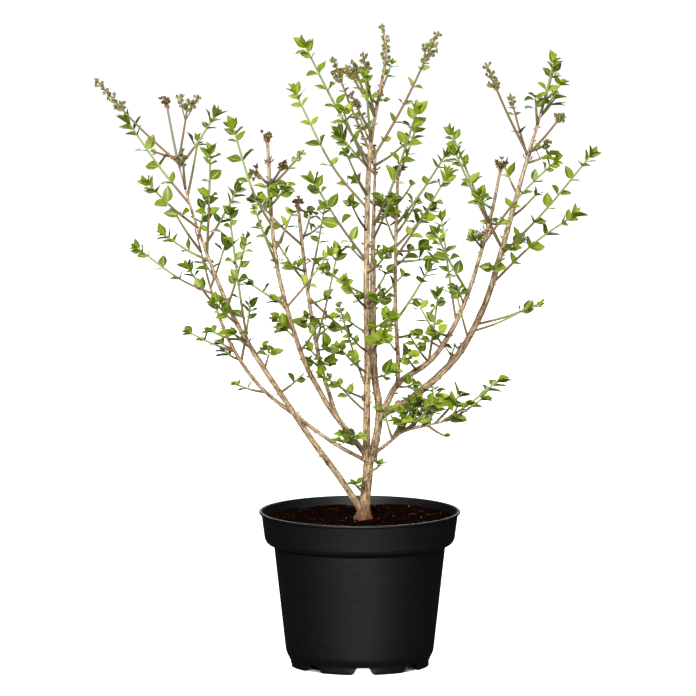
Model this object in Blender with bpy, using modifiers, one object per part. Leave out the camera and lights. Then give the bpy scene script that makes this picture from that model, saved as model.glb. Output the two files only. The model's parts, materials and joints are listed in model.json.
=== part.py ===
"""A dwarf lilac shrub in a black nursery pot, in early leaf. Metres, +Z up, -Y to the front.

The pot stands on z = 0 with its axis on Z. Every limb is a smooth line through a few points. Its lower, bare
stretch is a bough, and the rest is the stem of a mass of shoots, leaves, flower buds and dry seed heads.
"""

import bisect
import math
import random
from typing import NamedTuple

import bmesh
import bpy
import numpy as np
from mathutils import Matrix, Vector

PLANT = "potted_korean_lilac"
SEAT = 0.0003             # clearance between pieces that touch

# Pot: radii and heights of the outer wall
POT_SIDES = 32
POT_HEIGHT = 0.174
POT_WALL = 0.0014
EDGE_ROUND = 0.0006       # bevel of the lip's edges
LIP_RADIUS = 0.1125
LIP_HEIGHT = 0.0026
COLLAR_TOP_RADIUS = 0.1100
COLLAR_FOOT_RADIUS = 0.1062
COLLAR_FOOT = 0.1425
LEDGE_RADIUS = 0.0960
LEDGE = 0.1372
BODY_FOOT_RADIUS = 0.0825
BODY_FOOT = 0.0160
SKIRT_TOP_RADIUS = 0.0786
SKIRT_TOP = 0.0085
SKIRT_FOOT_RADIUS = 0.0774
FLOOR_UNDERSIDE = 0.0090
PAD_RADIUS = 0.0180
PAD_SLOPE = 0.0020
NOTCHES = 8
NOTCH_HEIGHT = 0.0084
NOTCH_WIDE = 0.0250
NOTCH_NARROW = 0.0130
NOTCH_DEPTH = 0.0100      # of the cut, to each side of the skirt's foot
CUT_BELOW = 0.0020        # how far the cut goes on under the foot
FIRST_NOTCH = math.radians(-87.3)
DRAIN_LENGTH = 0.0060
DRAIN_WIDTH = 0.0120

# Soil
SOIL_TOP = 0.1670
SOIL_EDGE_DROP = 0.0015
SOIL_FLAT_RADIUS = 0.0300

# Trunk
TRUNK_FOOT_RADIUS = 0.0060
TRUNK_TOP_RADIUS = 0.0053
FLARE = 0.0034            # what the root flare adds to the radius at the soil
FLARE_FADE = 0.0070       # height in which the flare fades to a third
TRUNK_HEIGHTS = (0.0, 0.0065, 0.009, 0.013, 0.019, 0.028, 0.045, 0.065)   # its rings, from its lower end
TRUNK_SIDES = 12
LIMB_SIDES = 6
STEM_SIDES = 4
LIMB_STEP = 0.024         # length of a straight piece of a limb
JOINT_STEP = 0.003        # length of the first and last piece
GROUND_SIZE = 0.2

# Shoots and leaves
SHOOT_RADIUS = 0.0012
SHOOT_TIP_RADIUS = 0.0008
SHOOT_STEP = 0.048
SHOOT_SAG = 0.03          # of a shoot's middle, as a share of its length
LEAF_LENGTH = 0.0225
LEAF_WIDTH = 0.62         # of its length
LEAF_THICKNESS = 0.05     # of its length
LEAF_FOLD = 0.10          # lift of its edges, as a share of its length
LEAF_SPREAD = math.radians(58)
PAIR_STEP = 0.064         # between two pairs of leaves on a shoot
STEM_PAIR_STEP = 0.085    # between two pairs of leaves on a stem
SHOOT_BARE_FOOT = 0.006
STEM_BARE_SHARE = 0.02
TUFT_LEAVES = 2
TUFT_SPREAD = math.radians(22)
TUFT_DEPTH = 0.0016       # of its leaves' feet below the tip
ROSETTE_PAIRS = ((0.98, math.radians(38)), (0.86, math.radians(68)))   # share of its stem, and spread
BUD_RADIUS = 0.0042
BUD_STEP = 0.0095
BUD_ROWS = 3
DRY_RADIUS = 0.0046
DRY_LUMPS = 2
LUMP_FOOT = 1.25          # length of a lump below its middle, in radii
LUMP_TOP = 1.35

# Space that each mass keeps to
SAMPLE_STEP = 0.004
CLEAR = 0.0020            # to a limb or shoot of another mass
MARGIN = 0.0016           # to the border of the mass's own space
SHOOT_CLEAR = 0.0055      # between the middle lines of two shoots of unlike masses
SHOOT_CHECKS = 12         # places along a shoot that are looked at

LEAVES = "leaves"
BUDS = "buds"
DRY = "dry"
ROSETTE = "rosette"
BARE_TIP = {LEAVES: 0.012, BUDS: 0.040, DRY: 0.030}   # length without leaf pairs below each kind of tip


class Shoot(NamedTuple):
    """A side shoot: where on its limb it springs, the way it points, its length and what is on its tip."""
    at: float
    bearing: float        # degrees from +X towards +Y
    rise: float           # degrees above the level
    length: float
    end: str = LEAVES
    sag: float = SHOOT_SAG


class Limb(NamedTuple):
    """A bough and the stem that goes on from it, with the shoots that it bears."""
    name: str
    parent: str
    at: float             # share of the parent's length where it springs
    way: tuple            # the points that it passes, its tip last
    foot_radius: float
    tip_radius: float
    bare: float           # share of its length that is the bough, none on a small tuft
    end: str
    shoots: tuple
    aside: tuple = (0.0, 0.0, 0.0)   # from the parent's middle line to its foot


TRUNK_WAY = ((0.0033, 0.0, 0.160), (0.0070, 0.0, 0.196), (0.0090, 0.0, 0.217), (0.0107, 0.0, 0.236))

LIMBS = (
    Limb(
        "centre", "trunk", 0.94,
        ((0.0080, -0.008, 0.301), (0.0088, -0.014, 0.356), (0.0075, -0.024, 0.450), (0.0115, -0.034, 0.586),
         (0.0288, -0.036, 0.689), (0.0249, -0.036, 0.727)),
        0.0038, 0.0016, 0.09, BUDS,
        (
            Shoot(0.11, -148, 43, 0.050), Shoot(0.16, -170, 72, 0.105, BUDS), Shoot(0.24, -61, 39, 0.056),
            Shoot(0.35, -108, 29, 0.090), Shoot(0.38, -142, 31, 0.070), Shoot(0.43, -65, 29, 0.066),
            Shoot(0.53, -103, 28, 0.090), Shoot(0.58, 173, 58, 0.152, sag=0.10),
            Shoot(0.61, -107, 36, 0.100), Shoot(0.68, -26, 61, 0.170, BUDS, 0.04),
            Shoot(0.685, -142, 57, 0.165), Shoot(0.71, 161, 67, 0.112, BUDS),
            Shoot(0.75, -133, 55, 0.060, BUDS), Shoot(0.79, -104, 55, 0.096, BUDS), Shoot(0.84, 25, 66, 0.036),
        ),
        aside=(-0.0028, -0.001, 0.0),
    ),
    Limb(
        "centre_back", "trunk", 0.92,
        ((0.0209, 0.006, 0.270), (0.0209, 0.016, 0.294), (0.0159, 0.034, 0.335), (0.0150, 0.095, 0.454),
         (0.0180, 0.150, 0.560)),
        0.0043, 0.0018, 0.36, LEAVES,
        (
            Shoot(0.40, 119, 9, 0.062), Shoot(0.50, 24, 40, 0.048), Shoot(0.62, 113, 12, 0.064),
            Shoot(0.71, -64, 49, 0.070), Shoot(0.75, -32, 67, 0.144, sag=0.07), Shoot(0.82, 107, 17, 0.068),
            Shoot(0.92, -169, 49, 0.060), Shoot(0.95, -44, 32, 0.054), Shoot(0.99, 120, 45, 0.050),
        ),
        aside=(0.0030, 0.002, 0.0),
    ),
    Limb(
        "left_outer", "trunk", 0.13,
        ((-0.0209, -0.004, 0.210), (-0.0656, -0.015, 0.2745), (-0.1377, -0.038, 0.393),
         (-0.1807, -0.062, 0.503), (-0.2040, -0.075, 0.584)),
        0.0035, 0.0015, 0.34, LEAVES,
        (
            Shoot(0.36, -40, 36, 0.043), Shoot(0.51, -105, 64, 0.172), Shoot(0.61, -67, 57, 0.098),
            Shoot(0.63, -161, 31, 0.120, sag=0.06), Shoot(0.73, 141, 20, 0.070), Shoot(0.75, -86, 63, 0.138),
            Shoot(0.77, 44, 49, 0.076), Shoot(0.82, -140, 38, 0.090), Shoot(0.88, 174, 53, 0.112),
            Shoot(0.90, 76, 50, 0.075), Shoot(0.985, -171, 44, 0.132, BUDS),
            Shoot(0.98, 129, 72, 0.068, DRY), Shoot(0.985, -66, 69, 0.080, BUDS),
            Shoot(0.975, 33, 49, 0.070),
        ),
    ),
    Limb(
        "left_back", "trunk", 0.91,
        ((-0.0243, 0.014, 0.2455), (-0.0612, 0.032, 0.269), (-0.1150, 0.062, 0.309), (-0.1544, 0.095, 0.371),
         (-0.1850, 0.130, 0.475)),
        0.0021, 0.0014, 0.37, LEAVES,
        (
            Shoot(0.41, 137, 5, 0.044), Shoot(0.54, 79, 47, 0.076), Shoot(0.58, -167, 24, 0.056),
            Shoot(0.74, 120, 30, 0.072), Shoot(0.80, 67, 46, 0.060), Shoot(0.92, -143, 52, 0.058),
            Shoot(0.96, 80, 38, 0.062),
        ),
    ),
    Limb(
        "left_inner", "trunk", 0.96,
        ((-0.0249, -0.018, 0.2815), (-0.0422, -0.032, 0.310), (-0.0673, -0.060, 0.367),
         (-0.0935, -0.105, 0.475), (-0.1025, -0.140, 0.612)),
        0.0030, 0.0015, 0.31, DRY,
        (
            Shoot(0.38, -60, 41, 0.052), Shoot(0.52, -14, 52, 0.078), Shoot(0.53, 137, 18, 0.054),
            Shoot(0.65, -114, 50, 0.092), Shoot(0.69, -48, 58, 0.053), Shoot(0.76, 160, 67, 0.118, sag=0.13),
            Shoot(0.84, -71, 26, 0.050), Shoot(0.87, 44, 35, 0.062, BUDS),
        ),
    ),
    Limb(
        "left_mid", "left_inner", 0.15,
        ((-0.0418, 0.016, 0.329), (-0.0482, 0.038, 0.356), (-0.0590, 0.080, 0.415), (-0.0690, 0.135, 0.498)),
        0.0022, 0.0016, 0.28, DRY,
        (
            Shoot(0.36, -25, 76, 0.106), Shoot(0.58, -19, -38, 0.066), Shoot(0.60, -40, 76, 0.102),
            Shoot(0.64, 137, 43, 0.058), Shoot(0.82, -152, 44, 0.080), Shoot(0.84, 81, 18, 0.058),
        ),
    ),
    Limb(
        "right_inner", "centre_back", 0.13,
        ((0.0293, 0.005, 0.293), (0.0444, 0.002, 0.319), (0.0782, -0.014, 0.3455), (0.1014, -0.034, 0.381),
         (0.1220, -0.056, 0.432), (0.1445, -0.088, 0.514), (0.1567, -0.105, 0.576)),
        0.0034, 0.0013, 0.18, DRY,
        (
            Shoot(0.21, -104, 25, 0.046), Shoot(0.26, -79, 57, 0.100), Shoot(0.34, -172, 60, 0.050),
            Shoot(0.44, 177, 82, 0.116), Shoot(0.55, -123, 49, 0.100), Shoot(0.72, -106, 27, 0.047, BUDS),
            Shoot(0.735, -27, 48, 0.132, sag=-0.05), Shoot(0.81, -101, 38, 0.064),
        ),
    ),
    Limb(
        "right_outer", "centre_back", 0.14,
        ((0.0304, 0.012, 0.2845), (0.0480, 0.015, 0.292), (0.0824, 0.024, 0.318), (0.1125, 0.034, 0.349),
         (0.1400, 0.050, 0.400), (0.1580, 0.058, 0.457), (0.1812, 0.068, 0.540), (0.2165, 0.077, 0.660)),
        0.0041, 0.0018, 0.19, LEAVES,
        (
            Shoot(0.20, 74, 25, 0.046), Shoot(0.30, 112, 53, 0.053), Shoot(0.32, -27, 24, 0.074),
            Shoot(0.34, 26, 13, 0.080), Shoot(0.45, 10, 39, 0.118, sag=-0.05), Shoot(0.52, -20, 48, 0.160),
            Shoot(0.54, -143, 60, 0.130), Shoot(0.62, 58, 20, 0.056), Shoot(0.68, 112, 36, 0.044),
            Shoot(0.775, 123, 62, 0.075, BUDS), Shoot(0.78, -146, 62, 0.116, BUDS),
            Shoot(0.785, -28, 48, 0.064, BUDS), Shoot(0.92, -13, 48, 0.028),
        ),
    ),
    Limb(
        "right_upright", "right_inner", 0.13,
        ((0.0427, 0.028, 0.345), (0.0399, 0.068, 0.396), (0.0405, 0.115, 0.462), (0.0430, 0.160, 0.532)),
        0.0020, 0.0012, 0.12, DRY,
        (
            Shoot(0.31, 31, 52, 0.068), Shoot(0.61, -13, 58, 0.112), Shoot(0.68, 109, 34, 0.044),
            Shoot(0.76, 22, 52, 0.096), Shoot(0.86, 71, 16, 0.052),
        ),
    ),
    Limb(
        "right_low", "trunk", 0.97,
        ((0.0331, -0.020, 0.255), (0.0494, -0.038, 0.270), (0.0778, -0.064, 0.281), (0.1040, -0.088, 0.291)),
        0.0018, 0.0012, 0.20, LEAVES,
        (
            Shoot(0.28, -18, 60, 0.048), Shoot(0.42, 17, 36, 0.056), Shoot(0.72, -53, -14, 0.033),
            Shoot(0.80, 37, 40, 0.044), Shoot(0.87, 14, 34, 0.078), Shoot(0.95, -66, 38, 0.033),
        ),
    ),
    Limb(
        "low_left", "left_inner", 0.06,
        ((-0.0085, -0.020, 0.254), (-0.0110, -0.032, 0.261)), 0.0014, 0.0010, 0.0, ROSETTE, (),
    ),
    Limb(
        "low_right", "trunk", 0.78,
        ((0.0170, -0.008, 0.222), (0.0230, -0.015, 0.229)), 0.0014, 0.0010, 0.0, ROSETTE, (),
    ),
    Limb(
        "low_foot", "trunk", 0.42,
        ((0.0010, -0.010, 0.199), (-0.0050, -0.020, 0.207)), 0.0014, 0.0010, 0.0, ROSETTE, (),
    ),
)

BARK = ((0.42, 0.29, 0.19, 1.0), 0.75)
FOLIAGE = ((0.16, 0.26, 0.05, 1.0), 0.55)
POT_BLACK = ((0.012, 0.012, 0.013, 1.0), 0.42)
SOIL_BROWN = ((0.022, 0.012, 0.008, 1.0), 0.95)


class Route:
    """A smooth line through a few points, read by the share of its length."""

    def __init__(self, points, steps=20):
        given = [Vector(point) for point in points]
        ends = [2 * given[0] - given[1], *given, 2 * given[-1] - given[-2]]
        self.points = []
        for before, start, stop, after in zip(ends, ends[1:], ends[2:], ends[3:]):
            for step in range(steps):
                t = step / steps
                self.points.append(0.5 * (
                    2 * start + (stop - before) * t
                    + (2 * before - 5 * start + 4 * stop - after) * t ** 2
                    + (3 * start - before - 3 * stop + after) * t ** 3
                ))
        self.points.append(given[-1])
        self.marks = [0.0]
        for start, stop in zip(self.points, self.points[1:]):
            self.marks.append(self.marks[-1] + (stop - start).length)
        self.length = self.marks[-1]

    def place(self, share):
        reach = min(max(share, 0.0), 1.0) * self.length
        after = min(max(bisect.bisect_right(self.marks, reach), 1), len(self.marks) - 1)
        span = self.marks[after] - self.marks[after - 1]
        return self.points[after - 1].lerp(self.points[after], (reach - self.marks[after - 1]) / span)

    def heading(self, share):
        step = JOINT_STEP / self.length
        return (self.place(share + step) - self.place(share - step)).normalized()


def new_object(name, mesh, collection):
    item = bpy.data.objects.new(name, mesh)
    collection.objects.link(item)
    return item


def drop(item):
    data = item.data
    bpy.data.objects.remove(item)
    if isinstance(data, bpy.types.Curve):
        bpy.data.curves.remove(data)
    else:
        bpy.data.meshes.remove(data)


def evaluated_mesh(item):
    bpy.context.view_layer.update()
    graph = bpy.context.evaluated_depsgraph_get()
    return bpy.data.meshes.new_from_object(item.evaluated_get(graph))


def baked(item):
    """Replaces an object's mesh by what its modifiers make of it."""
    mesh = evaluated_mesh(item)
    item.modifiers.clear()
    before = item.data
    item.data = mesh
    bpy.data.meshes.remove(before)
    return item


def weld(mesh):
    shape = bmesh.new()
    shape.from_mesh(mesh)
    bmesh.ops.remove_doubles(shape, verts=shape.verts, dist=1e-6)
    bmesh.ops.recalc_face_normals(shape, faces=shape.faces)
    shape.to_mesh(mesh)
    shape.free()


def tube(name, points, radii, sides, collection):
    """A closed tapering tube along some points."""
    line = bpy.data.curves.new(name, "CURVE")
    line.dimensions = "3D"
    line.use_fill_caps = True
    section = None
    if sides == 3:
        ring = bpy.data.curves.new("section", "CURVE")
        corners = ring.splines.new("POLY")
        corners.points.add(2)
        corners.use_cyclic_u = True
        for number, corner in enumerate(corners.points):
            angle = math.tau * number / 3
            corner.co = (math.cos(angle), math.sin(angle), 0.0, 1.0)
        section = new_object("section", ring, collection)
        line.bevel_mode = "OBJECT"
        line.bevel_object = section
    else:
        line.bevel_depth = 1.0
        line.bevel_resolution = sides // 2 - 2
    spline = line.splines.new("POLY")
    spline.points.add(len(points) - 1)
    for spot, point, radius in zip(spline.points, points, radii):
        spot.co = (*point, 1.0)
        spot.radius = radius
    item = new_object(name, line, collection)
    mesh = evaluated_mesh(item)
    weld(mesh)
    drop(item)
    if section:
        drop(section)
    return new_object(name, mesh, collection)


def cut(item, cutter):
    """Takes a cutter's shape away from an object."""
    taken = item.modifiers.new("cut", "BOOLEAN")
    taken.operation = "DIFFERENCE"
    taken.object = cutter
    taken.solver = "MANIFOLD"
    return baked(item)


def fuse(item, pieces):
    """Joins pieces with an object, keeps the largest closed body and removes the pieces."""
    group = bpy.data.collections.new("pieces")
    bpy.context.scene.collection.children.link(group)
    for piece in pieces:
        group.objects.link(piece)
    joined = item.modifiers.new("join", "BOOLEAN")
    joined.operation = "UNION"
    joined.operand_type = "COLLECTION"
    joined.collection = group
    joined.solver = "MANIFOLD"
    baked(item)
    for piece in pieces:
        drop(piece)
    bpy.data.collections.remove(group)
    keep_largest(item.data)
    return item


def keep_largest(mesh):
    """Drops loose scraps and the skins of sealed hollows."""
    shape = bmesh.new()
    shape.from_mesh(mesh)
    left = set(shape.verts)
    bodies = []
    while left:
        body = set()
        edge = [left.pop()]
        while edge:
            vertex = edge.pop()
            body.add(vertex)
            near = {link.other_vert(vertex) for link in vertex.link_edges} & left
            left -= near
            edge.extend(near)
        bodies.append(body)
    bodies.sort(key=len)
    for body in bodies[:-1]:
        bmesh.ops.delete(shape, geom=list(body), context="VERTS")
    shape.to_mesh(mesh)
    shape.free()


def material(name, look):
    colour, roughness = look
    made = bpy.data.materials.new(name)
    made.use_nodes = True
    shader = made.node_tree.nodes["Principled BSDF"]
    shader.inputs["Base Color"].default_value = colour
    shader.inputs["Roughness"].default_value = roughness
    shader.inputs["Metallic"].default_value = 0.0
    made.diffuse_color = colour
    return made


def finish(item, look, smooth=True):
    item.data.materials.clear()
    item.data.materials.append(material(item.name, look))
    if smooth:
        item.data.shade_smooth()
        item.data.set_sharp_from_angle(angle=math.radians(35))


def turned(name, outline, collection):
    """A solid turned about Z from an outline of (radius, height)."""
    mesh = bpy.data.meshes.new(name)
    rows = [(radius, 0.0, height) for radius, height in outline]
    mesh.from_pydata(rows, [(number, number + 1) for number in range(len(rows) - 1)], [])
    item = new_object(name, mesh, collection)
    screw = item.modifiers.new("turn", "SCREW")
    screw.steps = POT_SIDES
    screw.render_steps = POT_SIDES
    screw.use_merge_vertices = True
    screw.merge_threshold = 0.0001
    return item


def pot_wall_inside():
    """The pot's inner side, from the centre of its floor up to under the lip."""
    floor = FLOOR_UNDERSIDE + POT_WALL
    return [
        (0.0, POT_WALL),
        (PAD_RADIUS, POT_WALL),
        (PAD_RADIUS + PAD_SLOPE, floor),
        (SKIRT_TOP_RADIUS - POT_WALL, floor),
        (BODY_FOOT_RADIUS - POT_WALL, BODY_FOOT),
        (LEDGE_RADIUS - POT_WALL, LEDGE),
        (LEDGE_RADIUS, LEDGE + POT_WALL),
        (COLLAR_FOOT_RADIUS - 2 * POT_WALL, LEDGE + 2 * POT_WALL),
        (COLLAR_FOOT_RADIUS - POT_WALL, COLLAR_FOOT),
        (COLLAR_TOP_RADIUS - POT_WALL, POT_HEIGHT - LIP_HEIGHT),
    ]


def build_pot(collection, cutters):
    outside = [
        (LIP_RADIUS - 2 * POT_WALL, POT_HEIGHT),
        (LIP_RADIUS - EDGE_ROUND, POT_HEIGHT),
        (LIP_RADIUS, POT_HEIGHT - EDGE_ROUND),
        (LIP_RADIUS, POT_HEIGHT - LIP_HEIGHT),
        (COLLAR_TOP_RADIUS, POT_HEIGHT - LIP_HEIGHT - EDGE_ROUND),
        (COLLAR_FOOT_RADIUS, COLLAR_FOOT),
        (COLLAR_FOOT_RADIUS - POT_WALL, LEDGE + POT_WALL),
        (LEDGE_RADIUS + POT_WALL, LEDGE),
        (LEDGE_RADIUS, LEDGE - POT_WALL),
        (BODY_FOOT_RADIUS, BODY_FOOT),
        (SKIRT_TOP_RADIUS, SKIRT_TOP),
        (SKIRT_FOOT_RADIUS, 0.0),
        (SKIRT_FOOT_RADIUS - POT_WALL, 0.0),
        (SKIRT_TOP_RADIUS - POT_WALL, FLOOR_UNDERSIDE),
        (PAD_RADIUS + 2 * PAD_SLOPE, FLOOR_UNDERSIDE),
        (PAD_RADIUS, 0.0),
        (0.0, 0.0),
    ]
    pot = turned("pot", pot_wall_inside() + outside, collection)
    for name, cutter in (("notches", notch_cutter(cutters)), ("drains", drain_cutter(cutters))):
        opened = pot.modifiers.new(name, "BOOLEAN")
        opened.operation = "DIFFERENCE"
        opened.object = cutter
    finish(pot, POT_BLACK)
    return pot


def ring_of_prisms(name, low, high, inner, outer, cutters):
    """Prisms round the axis, given as (half width, height) at their foot and their top."""
    shape = bmesh.new()
    for number in range(NOTCHES):
        made = bmesh.ops.create_cube(shape, size=1.0)["verts"]
        for vertex in made:
            half, height = high if vertex.co.z > 0 else low
            vertex.co = (
                outer if vertex.co.x > 0 else inner,
                math.copysign(half, vertex.co.y),
                height,
            )
        turn = Matrix.Rotation(FIRST_NOTCH + math.tau * number / NOTCHES, 4, "Z")
        bmesh.ops.transform(shape, matrix=turn, verts=made)
    mesh = bpy.data.meshes.new(name)
    shape.to_mesh(mesh)
    shape.free()
    item = new_object(name, mesh, cutters)
    item.display_type = "WIRE"
    item.hide_render = True
    return item


def notch_cutter(cutters):
    slope = (NOTCH_WIDE - NOTCH_NARROW) / (2 * NOTCH_HEIGHT)
    return ring_of_prisms(
        "notch_cutter",
        (NOTCH_WIDE / 2 + slope * CUT_BELOW, -CUT_BELOW),
        (NOTCH_NARROW / 2, NOTCH_HEIGHT),
        SKIRT_FOOT_RADIUS - NOTCH_DEPTH,
        SKIRT_FOOT_RADIUS + NOTCH_DEPTH,
        cutters,
    )


def drain_cutter(cutters):
    outer = SKIRT_TOP_RADIUS - 3 * POT_WALL
    return ring_of_prisms(
        "drain_cutter",
        (DRAIN_WIDTH / 2, FLOOR_UNDERSIDE - POT_WALL),
        (DRAIN_WIDTH / 2, FLOOR_UNDERSIDE + 2 * POT_WALL),
        outer - DRAIN_LENGTH,
        outer,
        cutters,
    )


def build_soil(collection):
    side = [(max(radius - SEAT, 0.0), height + SEAT) for radius, height in pot_wall_inside()[:-1]]
    rise = (SOIL_TOP - SOIL_EDGE_DROP - COLLAR_FOOT) / (POT_HEIGHT - LIP_HEIGHT - COLLAR_FOOT)
    edge = COLLAR_FOOT_RADIUS - POT_WALL - SEAT + rise * (COLLAR_TOP_RADIUS - COLLAR_FOOT_RADIUS)
    outline = [
        (0.0, SOIL_TOP),
        (SOIL_FLAT_RADIUS, SOIL_TOP),
        (edge, SOIL_TOP - SOIL_EDGE_DROP),
        *reversed(side),
    ]
    soil = turned("soil", outline, collection)
    finish(soil, SOIL_BROWN)


def trunk_radius(share):
    height = share * (TRUNK_WAY[-1][2] - TRUNK_WAY[0][2]) - (SOIL_TOP - TRUNK_WAY[0][2])
    plain = TRUNK_FOOT_RADIUS + (TRUNK_TOP_RADIUS - TRUNK_FOOT_RADIUS) * share
    return plain + FLARE * math.exp(-max(height, 0.0) / FLARE_FADE)


def limb_radius(limb):
    return lambda share: limb.foot_radius + (limb.tip_radius - limb.foot_radius) * share


def shares_between(route, start, stop, step):
    """Even shares of a route, with one close to each end, where it meets another piece."""
    count = max(2, round((stop - start) * route.length / step))
    near = JOINT_STEP / route.length
    inner = [start + (stop - start) * number / count for number in range(1, count)]
    return [start, start + near, *inner, stop - near, stop]


def limb_tube(name, route, radius, start, stop, sides, grow, collection):
    shares = shares_between(route, start, stop, LIMB_STEP)
    points = [route.place(share) for share in shares]
    if grow:
        points[-1] = points[-1] + grow * route.heading(stop)
    radii = [radius(share) + grow for share in shares]
    return tube(name, points, radii, sides, collection)


def trunk_tube(name, route, grow, collection):
    shares = [height / route.length for height in TRUNK_HEIGHTS] + [1.0]
    points = [route.place(share) for share in shares]
    if grow:
        points[-1] = points[-1] + grow * route.heading(1.0)
    return tube(name, points, [trunk_radius(share) + grow for share in shares], TRUNK_SIDES, collection)


def ground_block(collection):
    """What lies under the flat cut at the foot of the trunk."""
    shape = bmesh.new()
    made = bmesh.ops.create_cube(shape, size=GROUND_SIZE)["verts"]
    bmesh.ops.translate(shape, vec=(0.0, 0.0, SOIL_TOP + SEAT - GROUND_SIZE / 2), verts=made)
    mesh = bpy.data.meshes.new("ground")
    shape.to_mesh(mesh)
    shape.free()
    return new_object("ground", mesh, collection)


def limb_routes():
    """Every limb's line, from its foot on its parent's."""
    routes = {"trunk": Route(TRUNK_WAY)}
    waiting = list(LIMBS)
    while waiting:
        limb = waiting.pop(0)
        if limb.parent not in routes:
            waiting.append(limb)
            continue
        foot = routes[limb.parent].place(limb.at) + Vector(limb.aside)
        routes[limb.name] = Route((foot, *limb.way))
    return routes


def shoot_route(shoot, route):
    """A shoot's line, from its foot on its limb to its tip, sagging a little in the middle."""
    foot = route.place(shoot.at)
    bearing = math.radians(shoot.bearing)
    rise = math.radians(shoot.rise)
    level = math.cos(rise)
    chord = shoot.length * Vector((level * math.cos(bearing), level * math.sin(bearing), math.sin(rise)))
    sag = Vector((0.0, 0.0, -shoot.sag * shoot.length))
    return Route((foot, foot + 0.5 * chord + sag, foot + chord), steps=10)


class Space:
    """The middle lines of all limbs and shoots, to tell whose space a point lies in."""

    def __init__(self):
        self.points = np.zeros((0, 3))
        self.radii = np.zeros(0)
        self.owners = np.zeros(0, dtype=object)

    def add(self, owner, route, radius, start=0.0, stop=1.0):
        count = max(2, math.ceil((stop - start) * route.length / SAMPLE_STEP) + 1)
        shares = [start + (stop - start) * number / (count - 1) for number in range(count)]
        self.points = np.vstack([self.points, [route.place(share) for share in shares]])
        self.radii = np.append(self.radii, [radius(share) for share in shares])
        self.owners = np.append(self.owners, np.array([owner] * count, dtype=object))

    def gaps(self, owner, points):
        """For each point its distance to the owner's lines, to other lines, and clear of other surfaces."""
        found = []
        own = self.owners == owner
        for point in points:
            reach = np.linalg.norm(self.points - np.array(point), axis=1)
            found.append((
                reach[own].min() if own.any() else 0.0,
                reach[~own].min(),
                (reach - self.radii)[~own].min(),
            ))
        return found

    def holds(self, owner, points):
        return all(
            inside + MARGIN < outside and clear > CLEAR
            for inside, outside, clear in self.gaps(owner, points)
        )

    def lets_through(self, owner, points):
        return all(outside > SHOOT_CLEAR for _, outside, _ in self.gaps(owner, points))


def mass_name(limb):
    return "foliage_" + limb.name


def bough_name(limb):
    return "bough_" + limb.name


def shoot_radius(share):
    return SHOOT_RADIUS + (SHOOT_TIP_RADIUS - SHOOT_RADIUS) * share


def grow_shoots(routes):
    """The space of every limb, and each mass's shoots that find room in it."""
    space = Space()
    space.add("trunk", routes["trunk"], trunk_radius)
    for limb in LIMBS:
        radius = limb_radius(limb)
        if limb.bare:
            space.add(bough_name(limb), routes[limb.name], radius, 0.0, limb.bare)
        space.add(mass_name(limb), routes[limb.name], radius, limb.bare, 1.0)
    grown = {}
    for limb in LIMBS:
        owner = mass_name(limb)
        grown[limb.name] = []
        for shoot in limb.shoots:
            route = shoot_route(shoot, routes[limb.name])
            outer = [route.place(number / SHOOT_CHECKS) for number in range(2, SHOOT_CHECKS + 1)]
            if space.lets_through(owner, outer):
                space.add(owner, route, shoot_radius)
                grown[limb.name].append((shoot, route))
    return space, grown


def across(heading, turn):
    """A direction square to a heading, turned round it."""
    side = heading.cross(Vector((0.0, 0.0, 1.0)))
    if side.length < 0.2:
        side = heading.cross(Vector((1.0, 0.0, 0.0)))
    side.normalize()
    return Matrix.Rotation(turn, 3, heading) @ side


def eight_faces(name, corners, collection):
    """A closed shape with a foot, a tip and four corners between them."""
    shape = bmesh.new()
    bmesh.ops.create_uvsphere(shape, u_segments=4, v_segments=2, radius=1.0)
    foot, tip, right, upper, left, lower = corners
    for vertex in shape.verts:
        x, y, z = vertex.co
        if abs(z) > 0.5:
            vertex.co = tip if z > 0 else foot
        elif abs(x) > 0.5:
            vertex.co = right if x > 0 else left
        else:
            vertex.co = upper if y > 0 else lower
    bmesh.ops.triangulate(shape, faces=shape.faces)
    bmesh.ops.recalc_face_normals(shape, faces=shape.faces)
    mesh = bpy.data.meshes.new(name)
    shape.to_mesh(mesh)
    shape.free()
    return new_object(name, mesh, collection)


def leaf_corners(foot, heading, outward, spread, length):
    """A pointed leaf, folded a little along its rib, that grows from the foot."""
    along = (math.cos(spread) * heading + math.sin(spread) * outward).normalized()
    face = (math.sin(spread) * heading - math.cos(spread) * outward).normalized()
    side = along.cross(face)
    middle = foot + 0.45 * length * along
    edge = 0.40 * length * along + LEAF_FOLD * length * face
    half = 0.5 * LEAF_WIDTH * length * side
    return (
        foot,
        foot + length * along,
        foot + edge + half,
        middle,
        foot + edge - half,
        middle - LEAF_THICKNESS * length * face,
    )


def lump_corners(centre, heading, outward, radius):
    side = heading.cross(outward)
    return (
        centre - LUMP_FOOT * radius * heading,
        centre + LUMP_TOP * radius * heading,
        centre + radius * side,
        centre + radius * outward,
        centre - radius * side,
        centre - radius * outward,
    )


def leaf_pairs(route, start, stop, step, chance):
    """Leaves in opposite pairs, each pair turned a quarter from the last, as corners."""
    count = max(0, round((stop - start) * route.length / step))
    turn = chance.uniform(0.0, math.pi)
    for number in range(count):
        share = start + (stop - start) * (number + 0.6) / count
        heading = route.heading(share)
        for half in (0.0, math.pi):
            outward = across(heading, turn + half + chance.uniform(-0.35, 0.35))
            spread = LEAF_SPREAD + chance.uniform(-0.25, 0.2)
            length = LEAF_LENGTH * chance.uniform(0.82, 1.18)
            foot = route.place(share + chance.uniform(-0.4, 0.4) * SHOOT_RADIUS / route.length)
            yield leaf_corners(foot, heading, outward, spread, length)
        turn += math.pi / 2


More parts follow.
